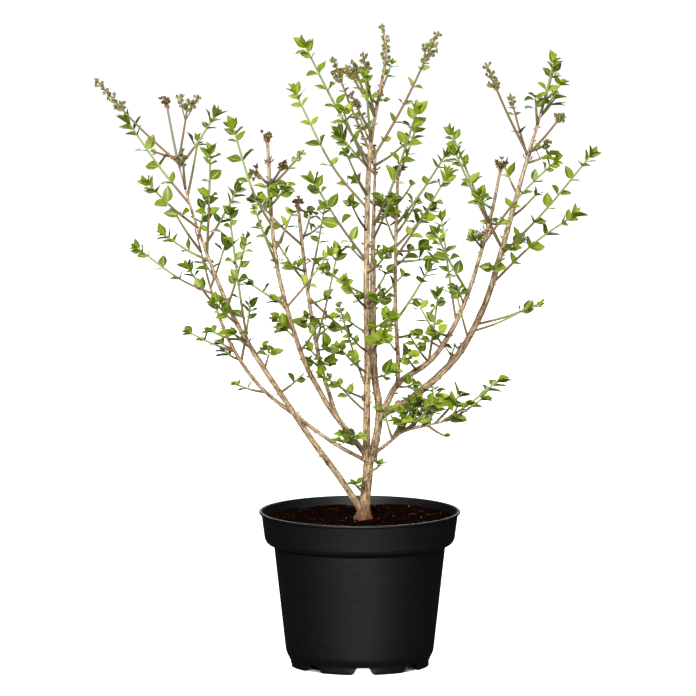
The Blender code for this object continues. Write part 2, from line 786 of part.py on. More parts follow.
def tuft(route, chance):
    """The leaves that crown a shoot."""
    heading = route.heading(1.0)
    turn = chance.uniform(0.0, math.pi)
    foot = route.place(1.0 - TUFT_DEPTH / route.length)
    for number in range(TUFT_LEAVES):
        outward = across(heading, turn + math.tau * number / TUFT_LEAVES)
        length = LEAF_LENGTH * chance.uniform(0.72, 0.98)
        yield leaf_corners(foot, heading, outward, TUFT_SPREAD, length)


def rosette(route, chance):
    """Two crossed pairs of small leaves on a short tuft."""
    turn = chance.uniform(0.0, math.pi)
    for share, spread in ROSETTE_PAIRS:
        heading = route.heading(share)
        for half in (0.0, math.pi):
            outward = across(heading, turn + half)
            length = LEAF_LENGTH * chance.uniform(0.60, 0.80)
            yield leaf_corners(route.place(share), heading, outward, spread, length)
        turn += math.pi / 2


def bud_head(route, chance):
    """A panicle of flower buds along the last stretch of a shoot."""
    for number in range(BUD_ROWS):
        share = 1.0 - number * BUD_STEP / route.length
        heading = route.heading(share)
        outward = across(heading, chance.uniform(0.0, math.tau))
        centre = route.place(share) + 0.35 * BUD_RADIUS * outward
        radius = BUD_RADIUS * (0.8 if number == 0 else 0.95)
        yield lump_corners(centre, heading, outward, radius)


def dry_head(route, chance):
    """The dry remains of last year's flowers on a tip."""
    heading = route.heading(1.0)
    for number in range(DRY_LUMPS):
        outward = across(heading, chance.uniform(0.0, math.tau))
        centre = route.place(1.0) + 0.5 * DRY_RADIUS * outward + number * 0.4 * DRY_RADIUS * heading
        yield lump_corners(centre, heading, outward, DRY_RADIUS * chance.uniform(0.75, 1.0))


ENDS = {LEAVES: tuft, BUDS: bud_head, DRY: dry_head, ROSETTE: rosette}


def build_mass(limb, route, shoots, space, clear, collection):
    """One limb's stem with its shoots, leaves, buds and dry heads fused on."""
    owner = mass_name(limb)
    chance = random.Random(owner)
    start = limb.bare + SEAT / route.length
    sides = STEM_SIDES if limb.bare else 3
    stem = limb_tube(owner, route, limb_radius(limb), start, 1.0, sides, 0.0, collection)
    if not limb.bare:
        cut_clear(stem, clear)
    pieces = []
    growths = list(leaf_pairs(route, start + STEM_BARE_SHARE, 1.0, STEM_PAIR_STEP, chance))
    growths += ENDS[limb.end](route, chance)
    for shoot, way in shoots:
        count = max(2, round(way.length / SHOOT_STEP))
        shares = [number / count for number in range(count + 1)]
        points = [way.place(share) for share in shares]
        radii = [shoot_radius(share) for share in shares]
        pieces.append(tube("shoot", points, radii, 3, collection))
        stop = 1.0 - BARE_TIP[shoot.end] / way.length
        growths += leaf_pairs(way, SHOOT_BARE_FOOT / way.length, stop, PAIR_STEP, chance)
        growths += ENDS[shoot.end](way, chance)
    for corners in growths:
        if space.holds(owner, corners):
            pieces.append(eight_faces("growth", corners, collection))
    fuse(stem, pieces)
    finish(stem, FOLIAGE, smooth=False)
    return stem


def cut_clear(item, cutters):
    """Cuts a limb's foot clear of the limbs that carry it."""
    for cutter in cutters:
        cut(item, cutter)
    keep_largest(item.data)


def build_limbs(routes, collection):
    """The trunk and the boughs, each cut clear of those before it. Gives back the cutters."""
    clear = [ground_block(collection)]
    trunk = cut(trunk_tube("trunk", routes["trunk"], 0.0, collection), clear[0])
    finish(trunk, BARK)
    clear.append(trunk_tube("clear", routes["trunk"], SEAT, collection))
    for limb in LIMBS:
        if not limb.bare:
            continue
        route = routes[limb.name]
        radius = limb_radius(limb)
        bough = limb_tube(bough_name(limb), route, radius, 0.0, limb.bare, LIMB_SIDES, 0.0, collection)
        cut_clear(bough, clear)
        finish(bough, BARK)
        clear.append(limb_tube("clear", route, radius, 0.0, limb.bare, LIMB_SIDES, SEAT, collection))
    return clear


def main():
    for item in list(bpy.data.objects):
        bpy.data.objects.remove(item)
    collection = bpy.data.collections.new(PLANT)
    cutters = bpy.data.collections.new("cutters")
    for group in (collection, cutters):
        bpy.context.scene.collection.children.link(group)
    build_pot(collection, cutters)
    build_soil(collection)
    routes = limb_routes()
    clear = build_limbs(routes, collection)
    space, grown = grow_shoots(routes)
    for limb in LIMBS:
        build_mass(limb, routes[limb.name], grown[limb.name], space, clear, collection)
    for cutter in clear:
        drop(cutter)


main()
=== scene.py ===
"""The looks of a dwarf lilac shrub in a black nursery pot, in early leaf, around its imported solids.

Metres, +Z up, -Y to the front. Every limb is a smooth line through a few points. Shoots, leaves, flower buds
and dry seed heads grow from the limbs by one rule, each kind joined into one mesh.
"""

import bisect
import functools
import json
import math
import random
from typing import NamedTuple

import bmesh
import bpy
import numpy as np
from mathutils import Matrix, Vector, noise

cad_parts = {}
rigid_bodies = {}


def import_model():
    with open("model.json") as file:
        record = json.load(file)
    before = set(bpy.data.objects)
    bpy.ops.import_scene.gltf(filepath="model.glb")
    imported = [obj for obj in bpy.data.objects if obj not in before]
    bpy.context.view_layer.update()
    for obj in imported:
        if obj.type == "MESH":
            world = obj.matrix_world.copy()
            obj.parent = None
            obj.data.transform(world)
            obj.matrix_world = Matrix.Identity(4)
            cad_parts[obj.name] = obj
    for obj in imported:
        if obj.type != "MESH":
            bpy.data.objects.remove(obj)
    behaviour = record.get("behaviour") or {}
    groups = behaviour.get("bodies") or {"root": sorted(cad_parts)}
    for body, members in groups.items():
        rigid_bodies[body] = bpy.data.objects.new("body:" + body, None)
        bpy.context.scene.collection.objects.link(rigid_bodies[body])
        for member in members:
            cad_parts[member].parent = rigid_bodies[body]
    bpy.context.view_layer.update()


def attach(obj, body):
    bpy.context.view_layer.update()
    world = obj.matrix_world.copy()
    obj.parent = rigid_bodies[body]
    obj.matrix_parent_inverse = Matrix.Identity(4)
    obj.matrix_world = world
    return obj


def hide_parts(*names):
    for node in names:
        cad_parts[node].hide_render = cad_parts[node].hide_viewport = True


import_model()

# Camera: the photograph is VIEW_WIDTH wide at the pot's axis
VIEW_WIDTH = 0.7774
VIEW_CENTRE = Vector((-0.0131, 0.0, 0.3580))
VIEW_RISE = math.radians(8.6)
VIEW_DISTANCE = 30.0
SENSOR = 36.0

# Softboxes: name, place, the height on the axis that each aims at, width, height and watts
SOFTBOXES = (
    ("key", (-0.65, -3.2, 1.7), 0.40, 1.3, 1.1, 195.0),
    ("fill", (0.85, -3.3, 0.9), 0.35, 1.5, 1.3, 62.0),
    ("top", (0.0, -0.4, 3.0), 0.40, 1.3, 1.3, 12.0),
    ("back", (0.0, 2.4, 2.2), 0.30, 1.8, 1.3, 75.0),
)
AMBIENT = 0.22             # strength of the surround in front
AMBIENT_BEHIND = 0.04
FLOOR_RADIUS = 9.0
PAINTED_SHADOW_ASIDE = (0.026, 0.030)      # of the painted shadow under the pot, where the floor's glow is off: where it starts beside the middle
PAINTED_SHADOW_REACH = (0.0740, 0.0765)    # and where the painted shadow ends round the middle

# Pot: radii and heights of the outer wall
POT_SIDES = 192
POT_HEIGHT = 0.174
POT_WALL = 0.0014
LIP_RADIUS = 0.1125
LIP_HEIGHT = 0.0026
COLLAR_TOP_RADIUS = 0.1100
COLLAR_FOOT_RADIUS = 0.1062
COLLAR_FOOT = 0.1425
LEDGE_RADIUS = 0.0960
LEDGE = 0.1372
BODY_FOOT_RADIUS = 0.0825
BODY_FOOT = 0.0160
SKIRT_TOP_RADIUS = 0.0786
SKIRT_TOP = 0.0085
SKIRT_FOOT_RADIUS = 0.0774
FLOOR_UNDERSIDE = 0.0090
PAD_RADIUS = 0.0180
PAD_SLOPE = 0.0020
NOTCHES = 8
FIRST_NOTCH = math.radians(-87.3)
NOTCH_DEPTH = 0.0100
NOTCH_OUTLINE = (          # half width and height of the opening through the skirt
    (0.0150, -0.0020), (0.0130, 0.0002), (0.0106, 0.0016), (0.0090, 0.0040),
    (0.0078, 0.0066), (0.0066, 0.0078), (0.0058, 0.0082),
)
RECESS_OUTLINE = ((0.0184, -0.0020), (0.0180, 0.0074))   # of the shallow panel round each opening
RECESS_DEPTH = 0.0008
DRAIN_LENGTH = 0.0060
DRAIN_WIDTH = 0.0120
POT_SHARP = math.radians(38)     # edges above this angle stay sharp

# Soil
SOIL_TOP = 0.1670
SOIL_EDGE_DROP = 0.0015
SOIL_SIDES = 160
SOIL_ROWS = 56
SOIL_GAP = 0.0003          # to the pot's inside
SOIL_TOP_GAP = 0.0002      # and at its top
SOIL_MIDDLE = 0.0002       # radius of its smallest ring
CRUMB_MARGIN = 0.003       # from its edge to the middle of a crumb
FIBRE_MARGIN = 0.002
SOIL_SINK = 0.0022         # how far its middle lies under SOIL_TOP
SOIL_DISH = 0.0010         # how much lower its edge lies
SOIL_RELIEF = 0.0017
SOIL_LUMPS = ((55, 1.0, 3.1), (140, 0.6, 7.7), (420, 0.35, 1.3), (900, 0.2, 5.0))   # how close, height, seed
SOIL_HEAP = 0.0036         # how much higher it lies behind the trunk, on the right
SOIL_HEAP_X = 0.045
SOIL_HEAP_Y = 0.070
SOIL_HEAP_WIDTH = 0.036
CRUMBS = 1500
CRUMB_SIZE = (0.0006, 0.0021)
GRAIN_SIZE = (0.0005, 0.0009)
GRAIN_EVERY = 17           # one pale grain among so many crumbs
FIBRES = 65
FIBRE_LENGTH = (0.004, 0.013)
FIBRE_RADIUS = (0.00015, 0.00035)

# Trunk and limbs
TRUNK_FOOT_RADIUS = 0.0062
TRUNK_TOP_RADIUS = 0.0056
FLARE = 0.0034
FLARE_FADE = 0.0070
BARK_THICKNESS = 0.0003   # over the limb's own wood
RING_STEP = 0.0018
BARK_SIDES = 18
BARK_RELIEF = 0.10         # of the radius
RIDGES = (2.2, 70)         # how close the ridges lie round a limb and along it
CRACKS = (900, 420)
CRACK_SHARE = 0.4          # of the ridges' height
NODE_STEP = 0.024          # between two leaf scars on a limb
NODE_SWELLING = 0.13
NODE_SWELLING_LENGTH = 0.0016
TRUNK_BURIED = 0.004
ROOT_RIDGES = ((4, 0.16, 0.6), (7, 0.10, 0.0))   # number round the trunk's foot, height and turn
COLLAR_SWELLING = 0.30     # where a limb leaves its parent
COLLAR_START = 0.7         # of the parent's radius
COLLAR_FADE = 1.6          # of the limb's radius
TIP_ROUNDING = 0.08
TIP_TAPER = 0.50           # thinner by this share at a leafy limb's tip
TIP_TAPER_FROM = 0.62
OLD_BARK_PAST = 0.25       # how far old bark goes on past a limb's bare part
WARM_FOOT = 0.030          # height of the reddish bark over the soil
KNOBS_PER_NODE = 1.6

# Shoots and leaves
SHOOT_SIDES = 6
SHOOT_RADIUS = 0.00125
SHOOT_TIP_RADIUS = 0.00080
STEM_GIRTH = 1.30          # of the drawn shoots, against the plain ones that keep their space
SHOOT_STEP = 0.005
SHOOT_SAG = 0.03
LEAF_LENGTH = 0.0152
LEAF_WIDTH = 0.60
LEAF_RISE = 0.16
LEAF_DROOP = 0.30          # share kept of what a leaf would hang below a slight rise
LEAF_SPREAD = math.radians(58)
LEAF_LEVEL = 0.80          # how far a blade turns up and out to the light
LEAF_LIGHT = Vector((0.0, -0.60, 0.60))
LEAF_ROLL = math.radians(22)
PAIR_STEP = 0.0245
PAIR_TURNS = (math.radians(56), math.radians(124))   # of two pairs in a row, from the back round the shoot
PETIOLE = 0.12             # share of a leaf's length
LEAF_ROUGHNESS = 0.46
BARE_FOOT = 0.010          # without leaves at a shoot's foot, and below its tuft
BARE_BELOW_SPIKE = 0.004
BUD_SHOOT_LEAF = 0.72      # size of the leaves on a shoot that flowers
BRACT_LEAF = 0.5           # and of those right below its flowers
BUD_LENGTH = 0.0027
BUD_WIDTH = 0.0020
SPIKE = 0.034              # length of a plain flower spike
LIMB_SPIKE = 0.046         # length of the one on a limb's own tip
ROW_STEP = 0.0056          # between two pairs of arms on a flower spike
ARM_REACH = 0.0036         # length of an arm at its top
ARM_GROWTH = 0.070         # longer by this share of the spike at its foot
FOOT_BUD = 1.24            # size of its buds at the foot
TOP_BUD = 1.08             # and at the top
CLUMP_STEP = 0.0034        # between two clumps of buds on an arm
LONG_ARM_LEAN = 0.38
LONG_ARM_SPIKE = 0.62      # share of a long side arm with buds
LONG_ARM_RADII = (0.0007, 0.0005)
GOLDEN_TURN = 2.4
BUD_STALK_RADIUS = 0.00042
DRY_STALK_RADIUS = 0.00055
DRY_STALK_LENGTH = (0.0035, 0.0130)
DRY_SHOOT_RADII = (0.0013, 0.0011)
DRY_BRANCHES = 13
DRY_SCALES = 8
SEED_LENGTH = 0.0044
SEED_WIDTH = 0.0024
SCALE_LENGTH = 0.0026
SCALE_WIDTH = 0.0019
WHORL_STALKS = 12
WHORL_SEED_LENGTH = 0.0028
WHORL_SEED_WIDTH = 0.0018

# Space that each mass keeps to
SAMPLE_STEP = 0.004
CLEAR = 0.0004
SHOOT_CLEAR = 0.0030
SHOOT_CHECKS = 12
HEADING_STEP = 0.003       # a line's heading is taken over this length on both sides

LEAVES = "leaves"
BUDS = "buds"
DRY = "dry"
ROSETTE = "rosette"
BARE = "bare"

BARK_LOOK, STEM_LOOK, KNOT_LOOK, SCAR_LOOK = 0, 1, 2, 3
KNOT_LOOKS = (BARK_LOOK, BARK_LOOK, KNOT_LOOK, KNOT_LOOK, SCAR_LOOK, SCAR_LOOK)
GREEN_TWIG, BROWN_TWIG, GREY_TWIG = 0, 1, 2
BUD_TIP = 3

# Plain looks of each heap: name, screen colour, roughness, how close its grain is, its height and gloss
CRUMB_LOOKS = (
    ("soil_crumb_dark", (12, 6, 4), 0.95, 900, 0.00012, 0.0),
    ("soil_crumb_brown", (24, 13, 8), 0.9, 900, 0.00012, 0.0),
    ("soil_crumb_red", (32, 14, 8), 0.9, 900, 0.00012, 0.0),
    ("soil_grain_pale", (120, 108, 94), 0.8, 1500, 0.00012, 0.2),
    ("soil_grain_tan", (58, 40, 28), 0.85, 1500, 0.00012, 0.2),
)
KNOT_AND_SCAR_LOOKS = (
    ("bark_knot", (112, 64, 40), 0.8, 900, 0.0004, 0.15),
    ("bark_scar", (176, 152, 116), 0.8, 900, 0.0003, 0.15),
)
TWIG_LOOKS = (
    ("twig_green", (134, 144, 82), 0.6, 900, 0.00012, 0.2),
    ("twig_brown", (120, 102, 72), 0.7, 900, 0.00012, 0.2),
    ("twig_grey", (122, 116, 102), 0.75, 900, 0.00012, 0.2),
)
BUD_LOOKS = (
    ("bud_olive", (110, 118, 48), 0.6, 1500, 0.00012, 0.4),
    ("bud_pale", (150, 154, 86), 0.6, 1500, 0.00012, 0.4),
    ("bud_brown", (98, 82, 50), 0.6, 1500, 0.00012, 0.4),
    ("bud_tip", (62, 50, 34), 0.6, 1500, 0.00012, 0.4),
)
SEED_LOOKS = (
    ("seed_dark", (74, 60, 36), 0.8, 1200, 0.00012, 0.1),
    ("seed_brown", (106, 88, 54), 0.8, 1200, 0.00012, 0.1),
    ("seed_tan", (150, 124, 84), 0.8, 1200, 0.00012, 0.1),
    ("seed_red", (140, 86, 50), 0.8, 1200, 0.00012, 0.1),
)
LEAF_GREENS = (
    (112, 130, 14), (94, 112, 9), (134, 152, 36), (70, 90, 6), (104, 123, 18), (84, 103, 9),
)
LEAF_RIB = (150, 168, 86)


class Shoot(NamedTuple):
    """A side shoot: where on its limb it springs, the way it points, its length and what is on its tip."""
    at: float
    bearing: float        # degrees from +X towards +Y
    rise: float           # degrees above the level
    length: float
    end: str = LEAVES
    sag: float = SHOOT_SAG
    spike: float = SPIKE  # length of its flower spike
    arms: float = 0.0     # length of two long side arms of the spike
    leafy: bool = True
    leaf: float = 1.0     # size of its leaves


class Limb(NamedTuple):
    """A bough and the stem that goes on from it, with the shoots that it bears."""
    name: str
    parent: str
    at: float
    way: tuple
    foot_radius: float
    tip_radius: float
    bare: float
    end: str
    shoots: tuple
    twigs: tuple = ()     # the finer shoots among them
    aside: tuple = (0.0, 0.0, 0.0)
    leaf: float = 1.0     # size of its leaves
    flat: float = 0.0     # how far they spread level, from 0 to 1


TRUNK_WAY = ((0.0033, 0.0, 0.160), (0.0070, 0.0, 0.196), (0.0090, 0.0, 0.217), (0.0107, 0.0, 0.236))

LIMBS = (
    Limb(
        "centre", "trunk", 0.94,
        ((0.0080, -0.008, 0.301), (0.0088, -0.014, 0.356), (0.0075, -0.024, 0.450), (0.0115, -0.034, 0.586),
         (0.0288, -0.036, 0.689), (0.0249, -0.036, 0.727)),
        0.0039, 0.0020, 0.09, BUDS,
        (
            Shoot(0.11, -148, 43, 0.050), Shoot(0.16, -170, 72, 0.105, BUDS, spike=0.012),
            Shoot(0.24, -61, 39, 0.056), Shoot(0.35, -108, 29, 0.090), Shoot(0.38, -142, 31, 0.070),
            Shoot(0.43, -65, 29, 0.066), Shoot(0.53, -103, 28, 0.090, leafy=False),
            Shoot(0.58, 173, 58, 0.152, sag=0.10, leaf=1.3), Shoot(0.61, -107, 36, 0.100, leafy=False),
            Shoot(0.68, -26, 61, 0.176, BUDS, 0.04, spike=0.038, arms=0.018, leaf=1.35),
            Shoot(0.685, -142, 57, 0.165, leaf=1.25),
            Shoot(0.71, 161, 67, 0.112, BUDS, spike=0.030, arms=0.014),
            Shoot(0.75, -133, 55, 0.060, BUDS, spike=0.020, arms=0.008),
            Shoot(0.79, -104, 55, 0.096, BUDS, spike=0.030, arms=0.010), Shoot(0.84, 25, 66, 0.036),
        ),
        (
            Shoot(0.14, -129, 25, 0.088, leaf=0.85), Shoot(0.19, -58, 14, 0.054, leaf=1.3),
            Shoot(0.20, -120, 31, 0.072), Shoot(0.25, -112, 26, 0.055),
            Shoot(0.27, -76, 14, 0.080, leaf=1.2), Shoot(0.30, -65, 21, 0.063, leaf=1.2),
            Shoot(0.35, -64, 23, 0.049, leaf=1.3), Shoot(0.36, -68, 28, 0.048),
            Shoot(0.46, -139, 51, 0.123, leaf=1.3), Shoot(0.50, -60, -9, 0.039),
            Shoot(0.67, -107, 39, 0.125, leafy=False), Shoot(0.73, -95, 52, 0.106, leafy=False),
            Shoot(0.79, -136, 62, 0.075, BUDS, spike=0.018, arms=0.008),
            Shoot(0.80, 162, 56, 0.061, BUDS, spike=0.018, arms=0.008), Shoot(0.82, -109, 27, 0.041),
            Shoot(0.83, -77, 7, 0.025),
        ),
        aside=(-0.0028, -0.001, 0.0), leaf=0.84,
    ),
    Limb(
        "centre_back", "trunk", 0.92,
        ((0.0209, 0.006, 0.270), (0.0209, 0.016, 0.294), (0.0159, 0.034, 0.335), (0.0150, 0.095, 0.454),
         (0.0180, 0.150, 0.560)),
        0.0043, 0.0018, 0.36, BARE,
        (
            Shoot(0.40, 119, 9, 0.062, leafy=False, leaf=0.8), Shoot(0.50, 24, 40, 0.048),
            Shoot(0.62, 113, 12, 0.064, leafy=False, leaf=0.7),
            Shoot(0.71, -64, 49, 0.070, leafy=False, leaf=0.6),
            Shoot(0.75, -32, 67, 0.144, sag=0.07, leaf=1.08), Shoot(0.82, 107, 17, 0.068, leafy=False),
            Shoot(0.92, -169, 49, 0.060), Shoot(0.95, -44, 32, 0.054, leafy=False),
            Shoot(0.99, 120, 45, 0.050),
        ),
        (
            Shoot(0.53, -14, 59, 0.030), Shoot(0.66, 31, 17, 0.030), Shoot(0.76, -51, 34, 0.029, leaf=1.2),
            Shoot(0.82, -63, 22, 0.037, leaf=1.3), Shoot(0.94, 102, 26, 0.057),
        ),
        aside=(0.0030, 0.002, 0.0),
    ),
    Limb(
        "left_outer", "trunk", 0.13,
        ((-0.0209, -0.004, 0.210), (-0.0656, -0.015, 0.2745), (-0.1377, -0.038, 0.393),
         (-0.1807, -0.062, 0.503), (-0.2040, -0.075, 0.584)),
        0.0035, 0.0015, 0.34, BARE,
        (
            Shoot(0.36, -40, 36, 0.043), Shoot(0.51, -105, 64, 0.172), Shoot(0.61, -67, 57, 0.098),
            Shoot(0.63, -161, 31, 0.120, sag=0.06), Shoot(0.73, 141, 20, 0.070), Shoot(0.75, -86, 63, 0.138),
            Shoot(0.77, 44, 49, 0.076), Shoot(0.82, -140, 38, 0.090), Shoot(0.88, 174, 53, 0.112, leaf=1.12),
            Shoot(0.90, 76, 50, 0.075, leafy=False, leaf=0.6),
            Shoot(0.985, -171, 46, 0.133, BUDS, spike=0.048, arms=0.010, leafy=False),
            Shoot(0.98, 129, 72, 0.068, DRY),
            Shoot(0.985, -66, 69, 0.080, BUDS, spike=0.016, arms=0.028, leafy=False),
            Shoot(0.975, 33, 49, 0.070, leaf=1.2),
        ),
        (
            Shoot(0.43, -68, 55, 0.024, leaf=1.15), Shoot(0.47, -32, 46, 0.012, leaf=1.1),
            Shoot(0.49, 120, 16, 0.040), Shoot(0.51, -117, 22, 0.032, leaf=1.3),
            Shoot(0.56, -115, 29, 0.065), Shoot(0.68, 109, 18, 0.043),
            Shoot(0.92, -95, 53, 0.060, BUDS, spike=0.024, leafy=False),
            Shoot(1.00, 139, 6, 0.036, BUDS, spike=0.006, leafy=False),
        ),
    ),
    Limb(
        "left_back", "trunk", 0.91,
        ((-0.0243, 0.014, 0.2455), (-0.0612, 0.032, 0.269), (-0.1150, 0.062, 0.309), (-0.1544, 0.095, 0.371),
         (-0.1850, 0.130, 0.475)),
        0.0021, 0.0014, 0.37, BARE,
        (
            Shoot(0.41, 137, 5, 0.044), Shoot(0.54, 79, 47, 0.076), Shoot(0.58, -167, 24, 0.056),
            Shoot(0.74, 120, 30, 0.072), Shoot(0.80, 67, 46, 0.060, leafy=False),
            Shoot(0.92, -143, 52, 0.058, leafy=False), Shoot(0.96, 80, 38, 0.062),
        ),
        (
            Shoot(0.55, 111, 3, 0.045), Shoot(0.59, 138, 13, 0.018, leaf=1.1),
            Shoot(0.63, 160, 19, 0.019, leaf=1.1),
        ),
    ),
    Limb(
        "left_inner", "trunk", 0.96,
        ((-0.0249, -0.018, 0.2815), (-0.0422, -0.032, 0.310), (-0.0673, -0.060, 0.367),
         (-0.0935, -0.105, 0.475), (-0.1025, -0.140, 0.612)),
        0.0030, 0.0015, 0.31, DRY,
        (
            Shoot(0.38, -60, 41, 0.052), Shoot(0.52, -14, 52, 0.078), Shoot(0.53, 137, 18, 0.054),
            Shoot(0.65, -114, 50, 0.092, leafy=False, leaf=0.6), Shoot(0.69, -48, 58, 0.053),
            Shoot(0.76, 160, 67, 0.118, sag=0.13, leaf=1.1), Shoot(0.84, -71, 26, 0.050),
            Shoot(0.87, 44, 35, 0.062, BUDS, spike=0.018),
        ),
        (
            Shoot(0.42, -154, 42, 0.016, leaf=1.2), Shoot(0.45, -123, 24, 0.036),
            Shoot(0.51, 156, 42, 0.015, leaf=1.1), Shoot(0.69, 119, 35, 0.039),
            Shoot(0.79, -98, 49, 0.048, leaf=1.1), Shoot(0.82, -66, 32, 0.042, leaf=1.1),
            Shoot(0.88, -73, 28, 0.050, DRY), Shoot(0.88, 125, 16, 0.023, DRY),
        ),
    ),
    Limb(
        "left_mid", "left_inner", 0.15,
        ((-0.0418, 0.016, 0.329), (-0.0482, 0.038, 0.356), (-0.0590, 0.080, 0.415), (-0.0690, 0.135, 0.498)),
        0.0022, 0.0016, 0.28, DRY,
        (
            Shoot(0.36, -25, 76, 0.106, leafy=False), Shoot(0.58, -19, -38, 0.066),
            Shoot(0.60, -40, 76, 0.102), Shoot(0.64, 137, 43, 0.058), Shoot(0.82, -152, 44, 0.080),
            Shoot(0.84, 81, 18, 0.058, leafy=False, leaf=0.7),
        ),
        (
            Shoot(0.24, -113, 25, 0.033, leaf=1.1), Shoot(0.28, -71, -1, 0.033, leaf=1.1),
            Shoot(0.29, 125, 22, 0.017, leaf=1.1), Shoot(0.41, -109, 28, 0.033, leaf=1.1),
            Shoot(0.33, -66, 13, 0.038, leaf=1.2), Shoot(0.39, -54, 30, 0.026, leaf=1.2),
            Shoot(0.45, -155, 61, 0.010), Shoot(0.48, -52, 9, 0.030, leaf=1.2), Shoot(0.55, -51, 18, 0.028),
            Shoot(0.70, -117, 20, 0.038), Shoot(0.86, 68, 4, 0.050),
            Shoot(0.99, -69, 3, 0.047, BUDS, spike=0.010),
        ),
    ),
    Limb(
        "right_inner", "centre_back", 0.13,
        ((0.0293, 0.005, 0.293), (0.0444, 0.002, 0.319), (0.0782, -0.014, 0.3455), (0.1014, -0.034, 0.381),
         (0.1220, -0.056, 0.432), (0.1445, -0.088, 0.514), (0.1567, -0.105, 0.576)),
        0.0034, 0.0013, 0.18, DRY,
        (
            Shoot(0.21, -104, 25, 0.046), Shoot(0.26, -79, 57, 0.100), Shoot(0.34, -172, 60, 0.050),
            Shoot(0.44, 177, 82, 0.116), Shoot(0.55, -123, 49, 0.100),
            Shoot(0.72, -106, 27, 0.047, BUDS, spike=0.010), Shoot(0.735, -27, 48, 0.132, sag=-0.05),
            Shoot(0.81, -101, 38, 0.064, leafy=False),
        ),
        (
            Shoot(0.12, -71, 10, 0.058, leaf=1.2), Shoot(0.26, -115, 36, 0.057, leaf=1.1),
            Shoot(0.33, 170, 32, 0.027, leaf=1.1), Shoot(0.38, -116, 19, 0.043),
            Shoot(0.51, -107, 42, 0.036, leaf=0.8), Shoot(0.72, 99, 39, 0.023, BUDS, spike=0.010),
            Shoot(0.77, 113, -8, 0.048, BUDS, spike=0.010), Shoot(0.81, 61, -8, 0.032),
            Shoot(0.86, 116, 13, 0.038),
        ),
    ),
    Limb(
        "right_outer", "centre_back", 0.14,
        ((0.0304, 0.012, 0.2845), (0.0480, 0.015, 0.292), (0.0824, 0.024, 0.318), (0.1125, 0.034, 0.349),
         (0.1400, 0.050, 0.400), (0.1580, 0.058, 0.457), (0.1812, 0.068, 0.540), (0.2165, 0.077, 0.660)),
        0.0041, 0.0018, 0.19, LEAVES,
        (
            Shoot(0.20, 74, 25, 0.046), Shoot(0.30, 112, 53, 0.053, leafy=False),
            Shoot(0.32, -27, 24, 0.074, leafy=False), Shoot(0.34, 26, 13, 0.080, leafy=False, leaf=0.8),
            Shoot(0.45, 10, 39, 0.118, sag=-0.05), Shoot(0.52, -20, 48, 0.160), Shoot(0.54, -143, 60, 0.130),
            Shoot(0.62, 58, 20, 0.056, leafy=False), Shoot(0.68, 112, 36, 0.044),
            Shoot(0.775, 123, 62, 0.075, BUDS, spike=0.014),
            Shoot(0.78, -146, 62, 0.122, BUDS, spike=0.036, arms=0.013, leafy=False),
            Shoot(0.785, -28, 48, 0.064, BUDS, spike=0.014, arms=0.010, leafy=False),
            Shoot(0.92, -13, 48, 0.028),
        ),
        (
            Shoot(0.49, -97, 12, 0.042), Shoot(0.54, -71, 8, 0.030, leaf=1.1), Shoot(0.54, -149, 64, 0.150),
            Shoot(0.55, 60, -3, 0.035), Shoot(0.76, 39, 12, 0.034, leaf=1.2),
            Shoot(0.79, -63, 20, 0.049, BUDS, spike=0.010), Shoot(0.86, -96, 56, 0.041),
            Shoot(0.88, 61, 31, 0.036, leaf=1.2), Shoot(0.88, 64, 22, 0.044),
            Shoot(0.89, -43, 72, 0.063, leaf=0.9),
        ),
    ),
    Limb(
        "right_upright", "right_inner", 0.13,
        ((0.0427, 0.028, 0.345), (0.0399, 0.068, 0.396), (0.0405, 0.115, 0.462), (0.0430, 0.160, 0.532)),
        0.0022, 0.0014, 0.12, DRY,
        (
            Shoot(0.31, 31, 52, 0.068), Shoot(0.61, -13, 58, 0.112), Shoot(0.68, 109, 34, 0.044),
            Shoot(0.76, 22, 52, 0.096), Shoot(0.86, 71, 16, 0.052, leafy=False, leaf=0.7),
        ),
        (
            Shoot(0.11, 77, 6, 0.038, leaf=1.1), Shoot(0.16, 107, 11, 0.031, leaf=1.1),
            Shoot(0.23, 59, 1, 0.032), Shoot(0.57, 73, 9, 0.055), Shoot(0.59, -35, 11, 0.052, leaf=1.35),
            Shoot(0.64, 6, 4, 0.027, leaf=1.2), Shoot(0.66, 15, 47, 0.054, leaf=1.2),
            Shoot(0.72, 64, 29, 0.058, leaf=1.1), Shoot(0.79, 101, 3, 0.070, leaf=0.85),
            Shoot(0.98, 57, 54, 0.066, leaf=1.1),
        ),
    ),
    Limb(
        "right_low", "trunk", 0.97,
        ((0.0331, -0.020, 0.255), (0.0494, -0.038, 0.270), (0.0778, -0.064, 0.281), (0.1040, -0.088, 0.291)),
        0.0018, 0.0012, 0.20, LEAVES,
        (
            Shoot(0.28, -18, 60, 0.048), Shoot(0.42, 17, 36, 0.056),
            Shoot(0.72, -53, -14, 0.033, leafy=False, leaf=0.6), Shoot(0.80, 37, 40, 0.044),
            Shoot(0.87, 14, 34, 0.078), Shoot(0.95, -66, 38, 0.033),
        ),
        (
            Shoot(0.29, -65, 48, 0.053, leaf=1.1), Shoot(0.30, -120, 62, 0.040),
            Shoot(0.33, -59, 42, 0.069, leaf=1.1), Shoot(0.43, -57, 32, 0.077, leaf=1.0),
            Shoot(0.46, 117, 22, 0.035), Shoot(0.40, -60, 58, 0.052), Shoot(0.44, -69, 48, 0.046),
            Shoot(0.54, -73, 48, 0.050), Shoot(0.56, 8, 63, 0.035), Shoot(0.66, -40, 62, 0.040),
            Shoot(0.69, -47, 51, 0.034), Shoot(0.74, 84, 40, 0.051), Shoot(0.93, -36, 31, 0.056),
        ),
        leaf=1.22, flat=0.8,
    ),
    Limb(
        "low_left", "left_inner", 0.06,
        ((-0.0085, -0.020, 0.252), (-0.0115, -0.032, 0.257)), 0.0014, 0.0010, 0.0, ROSETTE, (),
